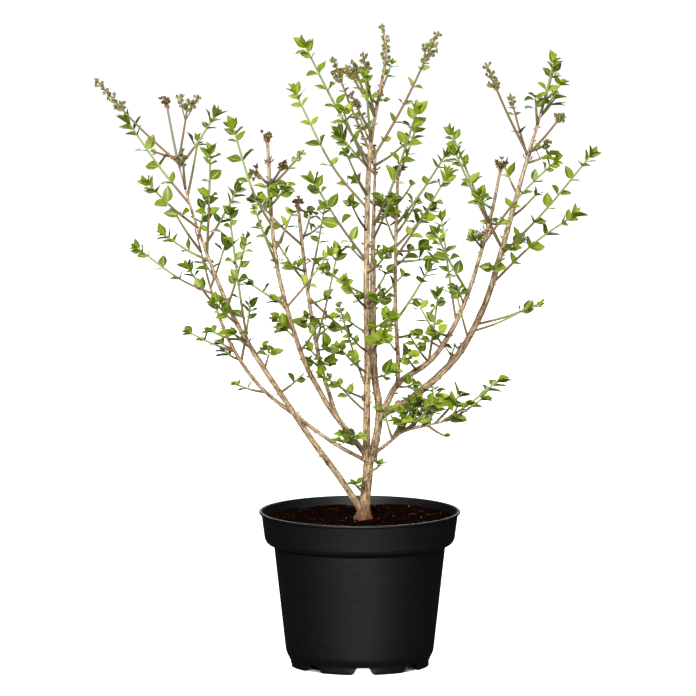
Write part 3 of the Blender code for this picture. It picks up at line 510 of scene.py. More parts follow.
        (Shoot(0.36, -114, 15, 0.029), Shoot(0.60, -125, 53, 0.015), Shoot(0.83, -69, 32, 0.020)), leaf=1.30,
    ),
    Limb(
        "low_right", "trunk", 0.78,
        ((0.0170, -0.008, 0.222), (0.0230, -0.015, 0.229)), 0.0014, 0.0010, 0.0, ROSETTE, (), leaf=0.95,
    ),
    Limb(
        "low_foot", "trunk", 0.42,
        ((0.0010, -0.010, 0.199), (-0.0050, -0.020, 0.207)), 0.0014, 0.0010, 0.0, ROSETTE, (),
    ),
)
LIMB_BY_NAME = {limb.name: limb for limb in LIMBS}

# Old flower stalks that stand in a ring round a node: limb, share of its length, spread
WHORLS = (
    ("left_outer", 0.995, 0.006), ("left_inner", 0.66, 0.005), ("left_inner", 0.88, 0.008),
    ("left_inner", 0.94, 0.004), ("left_mid", 0.74, 0.005), ("right_inner", 0.78, 0.009),
    ("right_outer", 0.775, 0.005), ("centre", 0.84, 0.004), ("centre_back", 0.93, 0.004),
)

# Knots where shoots have been lost: limb, share of its length, the way the knot faces, size
KNOTS = (
    ("trunk", 0.90, -75, 0.0036), ("trunk", 0.52, -95, 0.0034),
    ("trunk", 0.40, -150, 0.0030), ("trunk", 0.72, -60, 0.0028),
    ("left_outer", 0.16, -80, 0.0024), ("left_outer", 0.31, -100, 0.0020),
    ("left_mid", 0.56, -90, 0.0020), ("centre", 0.10, -110, 0.0026),
    ("centre", 0.57, -90, 0.0024), ("centre_back", 0.24, -70, 0.0024),
    ("centre_back", 0.92, -60, 0.0020), ("right_inner", 0.16, -100, 0.0022),
    ("right_inner", 0.74, -80, 0.0020), ("right_outer", 0.12, -90, 0.0026),
    ("right_outer", 0.43, -100, 0.0024), ("right_upright", 0.73, -90, 0.0022),
    ("right_upright", 0.97, -80, 0.0022), ("left_inner", 0.14, -100, 0.0022),
)
KNOT_SIDES = 12
KNOT_REACHES = (0.0, 0.20, 0.42, 0.52, 0.46, 0.30)   # out along the knot, as shares of its size
KNOT_DEPTHS = (0.0, 0.35, 0.45, 0.45, 0.45, 0.45)    # the same, as shares of the limb's radius
KNOT_RADII = (0.62, 0.60, 0.52, 0.36, 0.24, 0.12)
KNOT_RISE = 0.2            # how far a knot faces up
KNOT_FOOT = 0.45           # where it starts, as a share of the limb's radius
KNOT_RELIEF = 0.12


class Route:
    """A smooth line through a few points, read by the share of its length."""

    def __init__(self, points, steps=20):
        given = [Vector(point) for point in points]
        ends = [2 * given[0] - given[1], *given, 2 * given[-1] - given[-2]]
        self.points = []
        for before, start, stop, after in zip(ends, ends[1:], ends[2:], ends[3:]):
            for step in range(steps):
                t = step / steps
                self.points.append(0.5 * (
                    2 * start + (stop - before) * t
                    + (2 * before - 5 * start + 4 * stop - after) * t ** 2
                    + (3 * start - before - 3 * stop + after) * t ** 3
                ))
        self.points.append(given[-1])
        self.marks = [0.0]
        for start, stop in zip(self.points, self.points[1:]):
            self.marks.append(self.marks[-1] + (stop - start).length)
        self.length = self.marks[-1]

    def place(self, share):
        reach = min(max(share, 0.0), 1.0) * self.length
        after = min(max(bisect.bisect_right(self.marks, reach), 1), len(self.marks) - 1)
        span = self.marks[after] - self.marks[after - 1]
        return self.points[after - 1].lerp(self.points[after], (reach - self.marks[after - 1]) / span)

    def heading(self, share):
        step = HEADING_STEP / self.length
        return (self.place(share + step) - self.place(share - step)).normalized()

    def places(self, start, stop, step):
        """Even places along a stretch, with their shares."""
        count = max(3, math.ceil((stop - start) * self.length / step) + 1)
        shares = np.linspace(start, stop, count)
        return shares, np.array([self.place(share) for share in shares])


def limb_routes():
    """Every limb's line, from its foot on its parent's."""
    routes = {"trunk": Route(TRUNK_WAY)}
    waiting = list(LIMBS)
    while waiting:
        limb = waiting.pop(0)
        if limb.parent not in routes:
            waiting.append(limb)
            continue
        foot = routes[limb.parent].place(limb.at) + Vector(limb.aside)
        routes[limb.name] = Route((foot, *limb.way))
    return routes


def pointing(bearing, rise=0.0):
    """A way in degrees, from +X towards +Y and up from the level."""
    bearing = math.radians(bearing)
    rise = math.radians(rise)
    return Vector((math.cos(rise) * math.cos(bearing), math.cos(rise) * math.sin(bearing), math.sin(rise)))


def shoot_route(shoot, route):
    """A shoot's line, from its foot on its limb to its tip, sagging a little in the middle."""
    foot = route.place(shoot.at)
    chord = shoot.length * pointing(shoot.bearing, shoot.rise)
    sag = Vector((0.0, 0.0, -shoot.sag * shoot.length))
    return Route((foot, foot + 0.5 * chord + sag, foot + chord), steps=10)


def trunk_radius(share):
    height = share * (TRUNK_WAY[-1][2] - TRUNK_WAY[0][2]) - (SOIL_TOP - TRUNK_WAY[0][2])
    plain = TRUNK_FOOT_RADIUS + (TRUNK_TOP_RADIUS - TRUNK_FOOT_RADIUS) * share
    return plain + FLARE * math.exp(-max(height, 0.0) / FLARE_FADE)


def limb_radius(limb):
    return lambda share: BARK_THICKNESS + limb.foot_radius + (limb.tip_radius - limb.foot_radius) * share


def shoot_radius(share):
    return SHOOT_RADIUS + (SHOOT_TIP_RADIUS - SHOOT_RADIUS) * share


class Space:
    """The middle lines of all limbs and shoots, to tell whose space a point lies in."""

    def __init__(self):
        self.points = np.zeros((0, 3))
        self.radii = np.zeros(0)
        self.owners = np.zeros(0, dtype=object)

    def add(self, owner, route, radius, start=0.0, stop=1.0):
        shares, points = route.places(start, stop, SAMPLE_STEP)
        self.points = np.vstack([self.points, points])
        self.radii = np.append(self.radii, [radius(share) for share in shares])
        self.owners = np.append(self.owners, np.array([owner] * len(shares), dtype=object))

    def reaches(self, owner, points):
        """How near each point is to the owner's lines, to other lines and to the wood of those."""
        own = self.owners == owner
        for point in points:
            reach = np.linalg.norm(self.points - np.array(point), axis=1)
            yield reach[own].min(), reach[~own].min(), (reach - self.radii)[~own].min()

    def holds(self, owner, points):
        """True where all points are nearer to the owner's lines than to others and clear of those."""
        return all(own < other and wood > CLEAR for own, other, wood in self.reaches(owner, points))

    def clears(self, owner, points):
        """True where all points are clear of the wood of others."""
        return all(wood > CLEAR for _, _, wood in self.reaches(owner, points))

    def lets_through(self, owner, points):
        """True where all points keep their distance from the lines of others."""
        return all(other > SHOOT_CLEAR for _, other, _ in self.reaches(owner, points))


def grow_shoots(routes):
    """The space of every limb, and each mass's shoots that find room in it."""
    space = Space()
    space.add("trunk", routes["trunk"], trunk_radius)
    for limb in LIMBS:
        radius = limb_radius(limb)
        if limb.bare:
            space.add("bough_" + limb.name, routes[limb.name], radius, 0.0, limb.bare)
        space.add("foliage_" + limb.name, routes[limb.name], radius, limb.bare, 1.0)
    grown = {limb.name: [] for limb in LIMBS}
    for kind in ("shoots", "twigs"):
        for limb in LIMBS:
            owner = "foliage_" + limb.name
            for shoot in getattr(limb, kind):
                route = shoot_route(shoot, routes[limb.name])
                outer = [route.place(number / SHOOT_CHECKS) for number in range(2, SHOOT_CHECKS + 1)]
                if space.lets_through(owner, outer):
                    space.add(owner, route, shoot_radius)
                    grown[limb.name].append((shoot, route))
    return space, grown


def link(name, data):
    """A new object in the scene."""
    item = bpy.data.objects.new(name, data)
    bpy.context.scene.collection.objects.link(item)
    return item


def from_shape(name, shape):
    """A new object from a bmesh, which is freed."""
    mesh = bpy.data.meshes.new(name)
    shape.to_mesh(mesh)
    shape.free()
    return link(name, mesh)


class Heap:
    """Quads of many small shapes, joined into one mesh. A point's grain is its place on its own shape."""

    def __init__(self, name):
        self.name = name
        self.points = []
        self.grain = []
        self.faces = []
        self.looks = []
        self.count = 0

    def add(self, points, faces, look, grain=None):
        points = np.asarray(points, dtype=float).reshape(-1, 3)
        self.points.append(points)
        self.grain.append(points if grain is None else np.asarray(grain, dtype=float).reshape(-1, 3))
        self.faces.append(faces + self.count)
        self.looks.append(np.broadcast_to(look, len(faces)))
        self.count += len(points)

    def piece(self, looks):
        mesh = bpy.data.meshes.new(self.name)
        mesh.from_pydata(np.vstack(self.points).tolist(), [], np.vstack(self.faces).tolist())
        mesh.polygons.foreach_set("material_index", np.concatenate(self.looks).astype(np.int32))
        grain = mesh.attributes.new("grain", "FLOAT_VECTOR", "POINT")
        grain.data.foreach_set("vector", np.vstack(self.grain).astype(np.float32).ravel())
        for look in looks:
            mesh.materials.append(look)
        mesh.shade_smooth()
        return link(self.name, mesh)


def turns(sides):
    """Even angles round a circle."""
    return math.tau * np.arange(sides) / sides


def ring(radius, height, sides):
    """Points round the Z axis."""
    return [(radius * math.cos(angle), radius * math.sin(angle), height) for angle in turns(sides)]


@functools.cache
def tube_faces(rows, sides):
    """Quads between rings of points, and over both ends."""
    side = np.arange(sides)
    after = (side + 1) % sides
    wall = np.stack([side, after, after + sides, side + sides], 1)
    walls = [wall + row * sides for row in range(rows - 1)]
    fans = [(n, n + 1, n + 2) for n in range(1, sides - 1, 2)]
    last = (rows - 1) * sides
    low = [(0, c, b, a) for a, b, c in fans]
    high = [(last, last + a, last + b, last + c) for a, b, c in fans]
    return np.vstack([*walls, low, high])


@functools.cache
def sheet_faces(rows, columns):
    corners = [row * columns + column for row in range(rows - 1) for column in range(columns - 1)]
    return np.array([(corner, corner + 1, corner + columns + 1, corner + columns) for corner in corners])


def square_frames(centres):
    """Two directions square to a line at each of its points, without twist."""
    headings = np.gradient(centres, axis=0)
    headings /= np.linalg.norm(headings, axis=1)[:, None]
    side = np.cross(headings[0], (0.0, 0.0, 1.0) if abs(headings[0][2]) < 0.9 else (1.0, 0.0, 0.0))
    sides = []
    for heading in headings:
        side = side - heading * (side @ heading)
        side = side / np.linalg.norm(side)
        sides.append(side)
    return np.array(sides), np.cross(headings, sides)


def add_tube(heap, centres, radii, sides, look, relief=0.0, axis=None):
    """A closed tube along some centres, with one look or a look for each ring. relief is each point's share
    of extra radius, and axis the way that all its rings face, where its centres don't tell."""
    centres = np.asarray(centres, dtype=float)
    radii = np.asarray(radii, dtype=float)[:, None]
    first, second = square_frames(centres if axis is None else np.outer(np.arange(len(centres)), axis))
    cosine = np.cos(turns(sides))
    sine = np.sin(turns(sides))
    wide = np.repeat(radii, sides, axis=1) * (1.0 + relief)
    spokes = cosine[None, :, None] * first[:, None, :] + sine[None, :, None] * second[:, None, :]
    points = centres[:, None, :] + wide[:, :, None] * spokes
    along = np.append(0.0, np.cumsum(np.linalg.norm(np.diff(centres, axis=0), axis=1)))
    grain = np.stack([radii * cosine, radii * sine, np.repeat(along[:, None], sides, axis=1)], axis=2)
    if np.ndim(look):
        rows = np.repeat(np.asarray(look)[:-1], sides)
        look = np.concatenate([rows, np.repeat([look[0], look[-1]], sides // 2 - 1)])
    heap.add(points, tube_faces(len(centres), sides), look, grain)


def bark_relief(seed, along, radii):
    """Long ridges, fine cracks and the swellings where leaves once sat."""
    shift = random.Random(seed).uniform(0.0, 50.0)
    relief = np.zeros((len(along), BARK_SIDES))
    for row, (reach, radius) in enumerate(zip(along, radii)):
        node = (reach / NODE_STEP) % 1.0
        past = min(node, 1.0 - node) * NODE_STEP
        swelling = NODE_SWELLING * math.exp(-(past / NODE_SWELLING_LENGTH) ** 2)
        quarter = round(reach / NODE_STEP) * math.pi / 2
        close = CRACKS[0] * radius
        for column, angle in enumerate(turns(BARK_SIDES)):
            x = math.cos(angle)
            y = math.sin(angle)
            ridges = noise.noise(Vector((RIDGES[0] * x + shift, RIDGES[0] * y, RIDGES[1] * reach)))
            cracks = noise.noise(Vector((close * x, close * y + shift, CRACKS[1] * reach)))
            relief[row, column] = (
                BARK_RELIEF * (ridges + CRACK_SHARE * cracks) + swelling * abs(math.cos(angle - quarter)) ** 3
            )
    return relief


def add_trunk(heap, route):
    start = (SOIL_TOP - TRUNK_BURIED - TRUNK_WAY[0][2]) / route.length
    shares, centres = route.places(start, 1.0, RING_STEP)
    radii = np.array([trunk_radius(share) for share in shares])
    roots = np.exp(-np.maximum(centres[:, 2] - SOIL_TOP, 0.0) / FLARE_FADE)
    ridges = sum(height * np.cos(number * turns(BARK_SIDES) + turn) for number, height, turn in ROOT_RIDGES)
    relief = bark_relief("trunk", shares * route.length, radii) + np.outer(roots, ridges)
    add_tube(heap, centres, radii, BARK_SIDES, BARK_LOOK, relief)


def add_limb(heap, limb, route, parent_radius):
    """A bough and its stem as one limb, with a collar at its foot and a rounded tip."""
    shares, centres = route.places(0.0, 1.0, RING_STEP)
    reach = shares * route.length
    past = np.maximum(reach - COLLAR_START * parent_radius, 0.0)
    collar = 1.0 + COLLAR_SWELLING * np.exp(-past / (COLLAR_FADE * limb.foot_radius))
    tip = np.sqrt(np.clip((route.length - reach) / limb.tip_radius + TIP_ROUNDING, 0.0, 1.0))
    if limb.end != DRY:
        tip *= 1.0 - TIP_TAPER * np.clip((shares - TIP_TAPER_FROM) / (1.0 - TIP_TAPER_FROM), 0.0, 1.0)
    radii = np.array([limb_radius(limb)(share) for share in shares]) * collar * tip
    look = np.where(shares < limb.bare + OLD_BARK_PAST, BARK_LOOK, STEM_LOOK)
    add_tube(heap, centres, radii, BARK_SIDES, look, bark_relief(limb.name, reach, radii))


def add_knobs(heap, limb, route):
    """Short stubs and buds that sit on the old wood."""
    chance = random.Random("knobs " + limb.name)
    radius = limb_radius(limb)
    for _ in range(round(KNOBS_PER_NODE * route.length / NODE_STEP)):
        share = chance.uniform(0.04, 0.9)
        heading = route.heading(share)
        out = across(heading, chance.uniform(0.0, math.tau))
        size = radius(share) * chance.uniform(0.35, 0.6)
        foot = route.place(share) + 0.7 * radius(share) * out
        reach = 0.5 * radius(share) + chance.uniform(0.8, 2.2) * size
        tip = foot + reach * (out + 0.5 * heading).normalized()
        centres = [foot.lerp(tip, t) for t in (0.0, 0.4, 0.75, 1.0)]
        add_tube(heap, centres, [size, 0.9 * size, 0.65 * size, 0.1 * size], 8, BARK_LOOK)


def add_knot(heap, route, radius, share, bearing, size):
    """A raised ring of bark round the scar of a lost shoot. bearing is the way it faces, in degrees."""
    heading = route.heading(share)
    facing = pointing(bearing) + Vector((0.0, 0.0, KNOT_RISE))
    out = (facing - heading * facing.dot(heading)).normalized()
    foot = route.place(share) + KNOT_FOOT * radius * out
    steps = [reach * size + depth * radius for reach, depth in zip(KNOT_REACHES, KNOT_DEPTHS)]
    centres = [foot + step * out for step in steps]
    relief = KNOT_RELIEF * np.cos(3 * turns(KNOT_SIDES))
    add_tube(heap, centres, size * np.array(KNOT_RADII), KNOT_SIDES, KNOT_LOOKS, relief, tuple(out))


def across(heading, turn):
    """A direction square to a heading, turned round it from the back of the plant."""
    back = Vector((0.0, 1.0, 0.0)) if abs(heading.y) < 0.97 else Vector((0.0, 0.0, 1.0))
    side = (back - heading * back.dot(heading)).normalized()
    return Matrix.Rotation(turn, 3, heading) @ side


# A leaf's half width along its length, as shares, and its columns across
LEAF_OUTLINE = (
    (0.00, 0.05), (PETIOLE, 0.06), (0.16, 0.38), (0.25, 0.78), (0.38, 1.00), (0.52, 0.99),
    (0.67, 0.82), (0.81, 0.52), (0.92, 0.22), (1.00, 0.01),
)
LEAF_COLUMNS = (-1.0, -0.52, -0.07, 0.07, 0.52, 1.0)
LEAF_SHADES = 6
RIB_LOOK = LEAF_SHADES


class Leaf(NamedTuple):
    """Where a leaf grows: its foot, the way its shoot points, where it leans and how far, and its length."""
    foot: Vector
    heading: Vector
    outward: Vector
    spread: float
    length: float
    level: float = LEAF_LEVEL
    flat: float = 0.0

    def axes(self):
        along = math.cos(self.spread) * self.heading + math.sin(self.spread) * self.outward
        along.z *= 1.0 - self.flat
        if along.z < LEAF_RISE:
            along.z = LEAF_RISE + LEAF_DROOP * (along.z - LEAF_RISE)
        along.normalize()
        face = (math.sin(self.spread) * self.heading - math.cos(self.spread) * self.outward).normalized()
        face = face + self.level * LEAF_LIGHT + Vector((0.0, 0.0, 2.0 * self.flat))
        face = (face - along * face.dot(along)).normalized()
        return along, along.cross(face), face

    def corners(self):
        """Four points of its outline that have to find room."""
        along, side, _ = self.axes()
        half = 0.5 * LEAF_WIDTH * self.length * side
        low, middle, tip = (self.foot + share * self.length * along for share in (0.2, 0.45, 1.0))
        return low, tip, middle + half, middle - half


def add_leaf(heap, leaf, shade, chance):
    """A pointed leaf, folded along its rib, with its tip bent back."""
    along, side, face = leaf.axes()
    roll = Matrix.Rotation(chance.uniform(-LEAF_ROLL, LEAF_ROLL), 3, along)
    side = roll @ side
    face = roll @ face
    share = np.array([row[0] for row in LEAF_OUTLINE])[:, None]
    width = np.array([row[1] for row in LEAF_OUTLINE])[:, None]
    column = np.array(LEAF_COLUMNS)[None, :]
    fold = chance.uniform(0.20, 0.60)
    bend = chance.uniform(-0.05, 0.20)
    wave = chance.uniform(-0.05, 0.05)
    narrow = 0.5 * LEAF_WIDTH * chance.uniform(0.86, 1.12)
    out = share * np.ones_like(column)
    aside = narrow * width * column
    lift = (
        fold * narrow * width * np.abs(column) - bend * np.maximum(share - PETIOLE, 0.0) ** 2
        + wave * np.sin(9.0 * share) * column * width
    )
    local = np.stack([out, aside, lift], axis=2).reshape(-1, 3) * leaf.length
    points = np.array(leaf.foot) + local @ np.array([along, side, face])
    looks = np.tile([shade, shade, RIB_LOOK, shade, shade], len(LEAF_OUTLINE) - 1)
    looks[:5] = RIB_LOOK
    heap.add(points, sheet_faces(len(LEAF_OUTLINE), len(LEAF_COLUMNS)), looks, local)


def leaf_pairs(route, start, stop, size, chance, flat):
    """Leaves in opposite pairs, each pair turned a quarter from the last, closer together near the tip."""
    count = max(0, round((stop - start) * route.length / PAIR_STEP))
    first = chance.randrange(2)
    for number in range(count):
        turn = PAIR_TURNS[(first + number) % 2]
        share = start + (stop - start) * ((number + 0.7) / count) ** 0.88
        heading = route.heading(share)
        grown = size * (0.82 + 0.36 * math.sin(math.pi * (number + 0.7) / count))
        for half in (0.0, math.pi):
            outward = across(heading, turn + half + chance.uniform(-0.3, 0.3))
            spread = LEAF_SPREAD + chance.uniform(-0.22, 0.26)
            length = grown * chance.uniform(0.8, 1.15)
            level = LEAF_LEVEL * chance.uniform(0.4, 1.5)
            yield Leaf(route.place(share), heading, outward, spread, length, level, flat)


# Below a shoot's tip: distance, leaf spread and leaf size of each pair in its tuft
TUFT = ((0.0090, math.radians(50), 1.06), (0.0032, math.radians(32), 1.12), (0.0, math.radians(14), 0.84))
SMALL_TUFT = ((0.0030, math.radians(46), 1.0), (0.0, math.radians(18), 0.80))
TUFT_LEVEL = 0.35
SHORT_SHOOT = 0.060
SHORT_FLAT = 0.60


def tuft(route, size, chance, flat=0.0):
    """Crossed pairs of leaves on a shoot's tip, small and level on a short shoot."""
    first = chance.randrange(2)
    if route.length < SHORT_SHOOT:
        flat = max(flat, SHORT_FLAT)
    pairs = TUFT if route.length > SHORT_SHOOT else SMALL_TUFT
    for number, (below, spread, part) in enumerate(pairs):
        turn = PAIR_TURNS[(first + number) % 2]
        share = 1.0 - below / route.length
        heading = route.heading(share)
        for half in (0.0, math.pi):
            outward = across(heading, turn + half + chance.uniform(-0.2, 0.2))
            length = size * part * chance.uniform(0.85, 1.12)
            lean = spread + chance.uniform(-0.15, 0.15)
            yield Leaf(route.place(share), heading, outward, lean, length, TUFT_LEVEL, flat)


def rosette(route, size, chance):
    """Leaves in crossed pairs on a short tuft that opens sideways."""
    turn = 0.3
    for share, spread, part in ((0.99, 24, 0.62), (0.95, 46, 0.85), (0.86, 70, 1.0)):
        heading = (route.heading(share) + Vector((0.0, 0.0, 0.8))).normalized()
        for half in (0.0, math.pi):
            outward = across(heading, turn + half)
            length = size * part * chance.uniform(0.85, 1.1)
            yield Leaf(route.place(share), heading, outward, math.radians(spread), length, 0.5, 0.45)
        turn += math.pi / 2


BUD_ROWS = ((0.0, 0.25), (0.22, 0.86), (0.52, 1.0), (0.80, 0.70), (1.0, 0.18))   # share of its length, width
BUD_SIDES = 6


def add_bud(heap, foot, heading, length, width, look, tip_look):
    """A plump closed bud, whose tip may have a look of its own."""
    centres = [foot + length * share * heading for share, _ in BUD_ROWS]
    radii = [0.5 * width * wide for _, wide in BUD_ROWS]
    add_tube(heap, centres, radii, BUD_SIDES, [look, look, look, tip_look, tip_look])


def add_twig(heap, start, stop, radius, look):
    add_tube(heap, [start, start.lerp(stop, 0.5), stop], [radius, 0.9 * radius, 0.75 * radius], 4, look)


def bud_clump(heaps, foot, heading, count, size, chance):
    """Plump buds packed round one point, the first straight ahead and the rest leaning out."""
    turn = chance.uniform(0.0, math.tau)
    for number in range(count):
        lean = 0.15 if number == 0 else 0.55 + 0.5 * (number / count)
        way = (heading + lean * across(heading, turn)).normalized()
        turn += GOLDEN_TURN
        start = foot + (0.0007 * size * (count - number) / count) * heading
        length = BUD_LENGTH * size * chance.uniform(0.8, 1.15)
        width = BUD_WIDTH * size * chance.uniform(0.85, 1.15)
        add_bud(heaps["flower_buds"], start, way, length, width, chance.choice((0, 0, 1, 1, 1, 2)), BUD_TIP)


def bud_arm(heaps, foot, heading, length, size, chance):
    """A side arm of a flower spike, with a clump of buds on its tip and, where it is long, more below."""
    tip = foot + length * heading
    add_twig(heaps["twigs"], foot, tip, BUD_STALK_RADIUS, BROWN_TWIG)
    bud_clump(heaps, tip, heading, 6, size, chance)
    below = math.floor(length / CLUMP_STEP)
    for number in range(below):
        place = foot.lerp(tip, 1.0 - 0.8 * (number + 1) / (below + 1))
        out = across(heading, 1.9 * number + chance.uniform(0.0, 1.0))
        bud_clump(heaps, place, (heading + out).normalized(), 4, 0.9 * size, chance)


def flower_spike(heaps, route, shoot, chance):
    """A panicle of flower buds along the last stretch of a shoot."""
    length = min(shoot.spike, 0.9 * route.length)
    rows = max(1, round(length / ROW_STEP))
    turn = math.pi / 4
    for number in range(rows):
        up = number / rows
        share = 1.0 - (1.0 - up) * length / route.length
        heading = route.heading(share)
        reach = ARM_REACH + ARM_GROWTH * length * (1.0 - up) ** 0.8
        size = FOOT_BUD + (TOP_BUD - FOOT_BUD) * up
        for half in (0.0, math.pi):
            out = across(heading, turn + half + chance.uniform(-0.3, 0.3))
            way = (heading + chance.uniform(0.50, 0.95) * out).normalized()
            bud_arm(heaps, route.place(share), way, reach * chance.uniform(0.45, 1.3), size, chance)
        turn += math.pi / 2 + chance.uniform(-0.3, 0.3)
    bud_clump(heaps, route.place(1.0 - 0.0022 / route.length), route.heading(1.0), 6, 0.85, chance)
    bud_clump(heaps, route.place(1.0), route.heading(1.0), 5, 0.75, chance)
    if shoot.arms:
        add_long_arms(heaps, route, length, shoot.arms, chance)


def add_long_arms(heaps, route, spike, length, chance):
    """Two long side arms at the foot of a flower spike, each a small spike itself."""
    share = 1.0 - max(spike, 0.9 * length) / route.length
    heading = route.heading(share)
    foot = route.place(share)
    side = across(heading, math.pi / 2 + chance.uniform(-0.3, 0.3))
    for sign in (-1.0, 1.0):
        way = (heading + sign * LONG_ARM_LEAN * side).normalized()
        arm = Route((foot, foot + 0.5 * length * way, foot + length * (way + 0.15 * heading)), steps=6)
        add_shoot(heaps, arm, *LONG_ARM_RADII, BROWN_TWIG)
        flower_spike(heaps, arm, Shoot(0, 0, 0, length, BUDS, spike=LONG_ARM_SPIKE * length), chance)


def dry_head(heaps, route, chance):
    """The dry remains of last year's flowers on a tip."""
    heading = route.heading(1.0)
    for number in range(DRY_BRANCHES):
        out = across(heading, GOLDEN_TURN * number + chance.uniform(-0.4, 0.4))
        way = (heading + chance.uniform(0.1, 0.85) * out).normalized()
        foot = route.place(1.0 - chance.uniform(0.0, 0.0025) / route.length) + 0.3 * SHOOT_TIP_RADIUS * out
        tip = foot + chance.uniform(*DRY_STALK_LENGTH) * way
        add_twig(heaps["twigs"], foot, tip, DRY_STALK_RADIUS, BROWN_TWIG)
        for turn in (0.0, 2.1, 4.2):
            lean = across(way, turn + chance.uniform(-0.5, 0.5))
            add_bud(
                heaps["seed_heads"], tip - 0.0006 * way, (way + 0.8 * lean).normalized(),
                SEED_LENGTH * chance.uniform(0.7, 1.15), SEED_WIDTH * chance.uniform(0.8, 1.2),
                chance.choice((0, 0, 0, 1)), chance.choice((0, 0, 2)),
            )
    for number in range(DRY_SCALES):
        out = across(heading, 0.8 * number)
        foot = route.place(1.0 - chance.uniform(0.001, 0.004) / route.length) + SHOOT_RADIUS * out
        way = (heading + out).normalized()
        add_bud(heaps["seed_heads"], foot, way, SCALE_LENGTH, SCALE_WIDTH, 3, 3)


def dry_whorl(heaps, route, share, radius, spread, chance):
    """Old flower stalks and scales in a ring round a node."""
    heading = route.heading(share)
    for number in range(WHORL_STALKS):
        out = across(heading, 1.1 * number + chance.uniform(-0.3, 0.3))
        foot = route.place(share + chance.uniform(-0.6, 0.6) * 0.004 / route.length) + 0.8 * radius * out
        way = (0.5 * heading + out).normalized()
        tip = foot + spread * chance.uniform(0.15, 1.0) * way
        add_twig(heaps["twigs"], foot, tip, DRY_STALK_RADIUS, BROWN_TWIG)
        length = WHORL_SEED_LENGTH * chance.uniform(0.7, 1.2)
        looks = (chance.choice((0, 1, 3, 3)), chance.choice((0, 3)))
        add_bud(heaps["seed_heads"], tip, (way + heading).normalized(), length, WHORL_SEED_WIDTH, *looks)


def add_shoot(heaps, route, foot_radius, tip_radius, look, foot_look=None, change=0.0):
    """A shoot's stem. Where change is given, foot_look is the look of its older part up to that share."""
    shares, centres = route.places(0.0, 1.0, SHOOT_STEP)
    radii = STEM_GIRTH * (foot_radius + (tip_radius - foot_radius) * shares)
    looks = np.where(shares < change, foot_look, look) if change else look
    add_tube(heaps["twigs"], centres, radii, SHOOT_SIDES, looks)


def grow_mass(heaps, limb, route, shoots, space):
    """All that grows on one limb."""
    owner = "foliage_" + limb.name
    chance = random.Random(owner)
    shade = chance.randrange(LEAF_SHADES)
    fits = space.clears if limb.end == ROSETTE else space.holds

    def put(leaves, spray):
        """Adds the leaves that find room, most of them in their spray's shade."""
        for leaf in leaves:
            if fits(owner, leaf.corners()):
                mixed = chance.choice((spray, spray, spray, (spray + 1) % LEAF_SHADES, shade))
                add_leaf(heaps["leaves"], leaf, mixed, chance)

    if limb.end == ROSETTE:
        add_shoot(heaps, route, limb.foot_radius, limb.tip_radius, GREEN_TWIG)
        put(rosette(route, LEAF_LENGTH * limb.leaf, chance), chance.randrange(LEAF_SHADES))
        for _, way in shoots:
            add_shoot(heaps, way, SHOOT_TIP_RADIUS, 0.8 * SHOOT_TIP_RADIUS, GREEN_TWIG)
            put(tuft(way, LEAF_LENGTH * limb.leaf, chance), chance.randrange(LEAF_SHADES))
        return
    end = Shoot(0, 0, 0, route.length, limb.end, spike=LIMB_SPIKE if limb.end == BUDS else SPIKE)
    for shoot, way in [(end, route), *shoots]:
        dress_shoot(heaps, limb, shoot, way, way is not route, put, chance)


def dress_shoot(heaps, limb, shoot, way, beside, put, chance):
    """The leaves and the tip of a shoot, and its stem where it stands beside its limb's own line."""
    spray = chance.randrange(LEAF_SHADES)
    size = LEAF_LENGTH * limb.leaf * shoot.leaf * chance.uniform(0.9, 1.14)
    if shoot.end == DRY:
        if beside:
            add_shoot(heaps, way, *DRY_SHOOT_RADII, GREY_TWIG)
        dry_head(heaps, way, chance)
        return
    if beside:
        look = BROWN_TWIG if shoot.end == BUDS else GREEN_TWIG
        add_shoot(heaps, way, SHOOT_RADIUS, SHOOT_TIP_RADIUS, look, BROWN_TWIG, chance.uniform(0.2, 0.6))
        if shoot.leafy:
            bare = BARE_FOOT if shoot.end == LEAVES else shoot.spike + BARE_BELOW_SPIKE
            part = BUD_SHOOT_LEAF if shoot.end == BUDS else 1.0
            start = BARE_FOOT / way.length
            stop = 1.0 - bare / way.length
            put(leaf_pairs(way, start, stop, size * part, chance, limb.flat), spray)
    if shoot.end == BUDS and shoot.leafy:
        bract = Route((way.place(0.5), way.place(1.0 - shoot.spike / way.length)), steps=4)
        put(tuft(bract, BRACT_LEAF * size, chance), spray)
    if shoot.end == BUDS:
        flower_spike(heaps, way, shoot, chance)
    elif shoot.end == LEAVES:
        put(tuft(way, size, chance, limb.flat), spray)


def rounded(outline, steps=5):
    """An outline of (radius, height, rounding) with its corners rounded off, as (radius, height)."""
    smooth = [Vector(outline[0][:2])]
    for before, corner, after in zip(outline, outline[1:], outline[2:]):
        here = Vector(corner[:2])
        back = Vector(before[:2]) - here
        ahead = Vector(after[:2]) - here
        reach = min(corner[2], 0.45 * back.length, 0.45 * ahead.length)
        start = here + reach * back.normalized()
        stop = here + reach * ahead.normalized()
        for number in range(steps + 1):
            t = number / steps
            smooth.append((1 - t) ** 2 * start + 2 * t * (1 - t) * here + t ** 2 * stop)
    smooth.append(Vector(outline[-1][:2]))
    return smooth


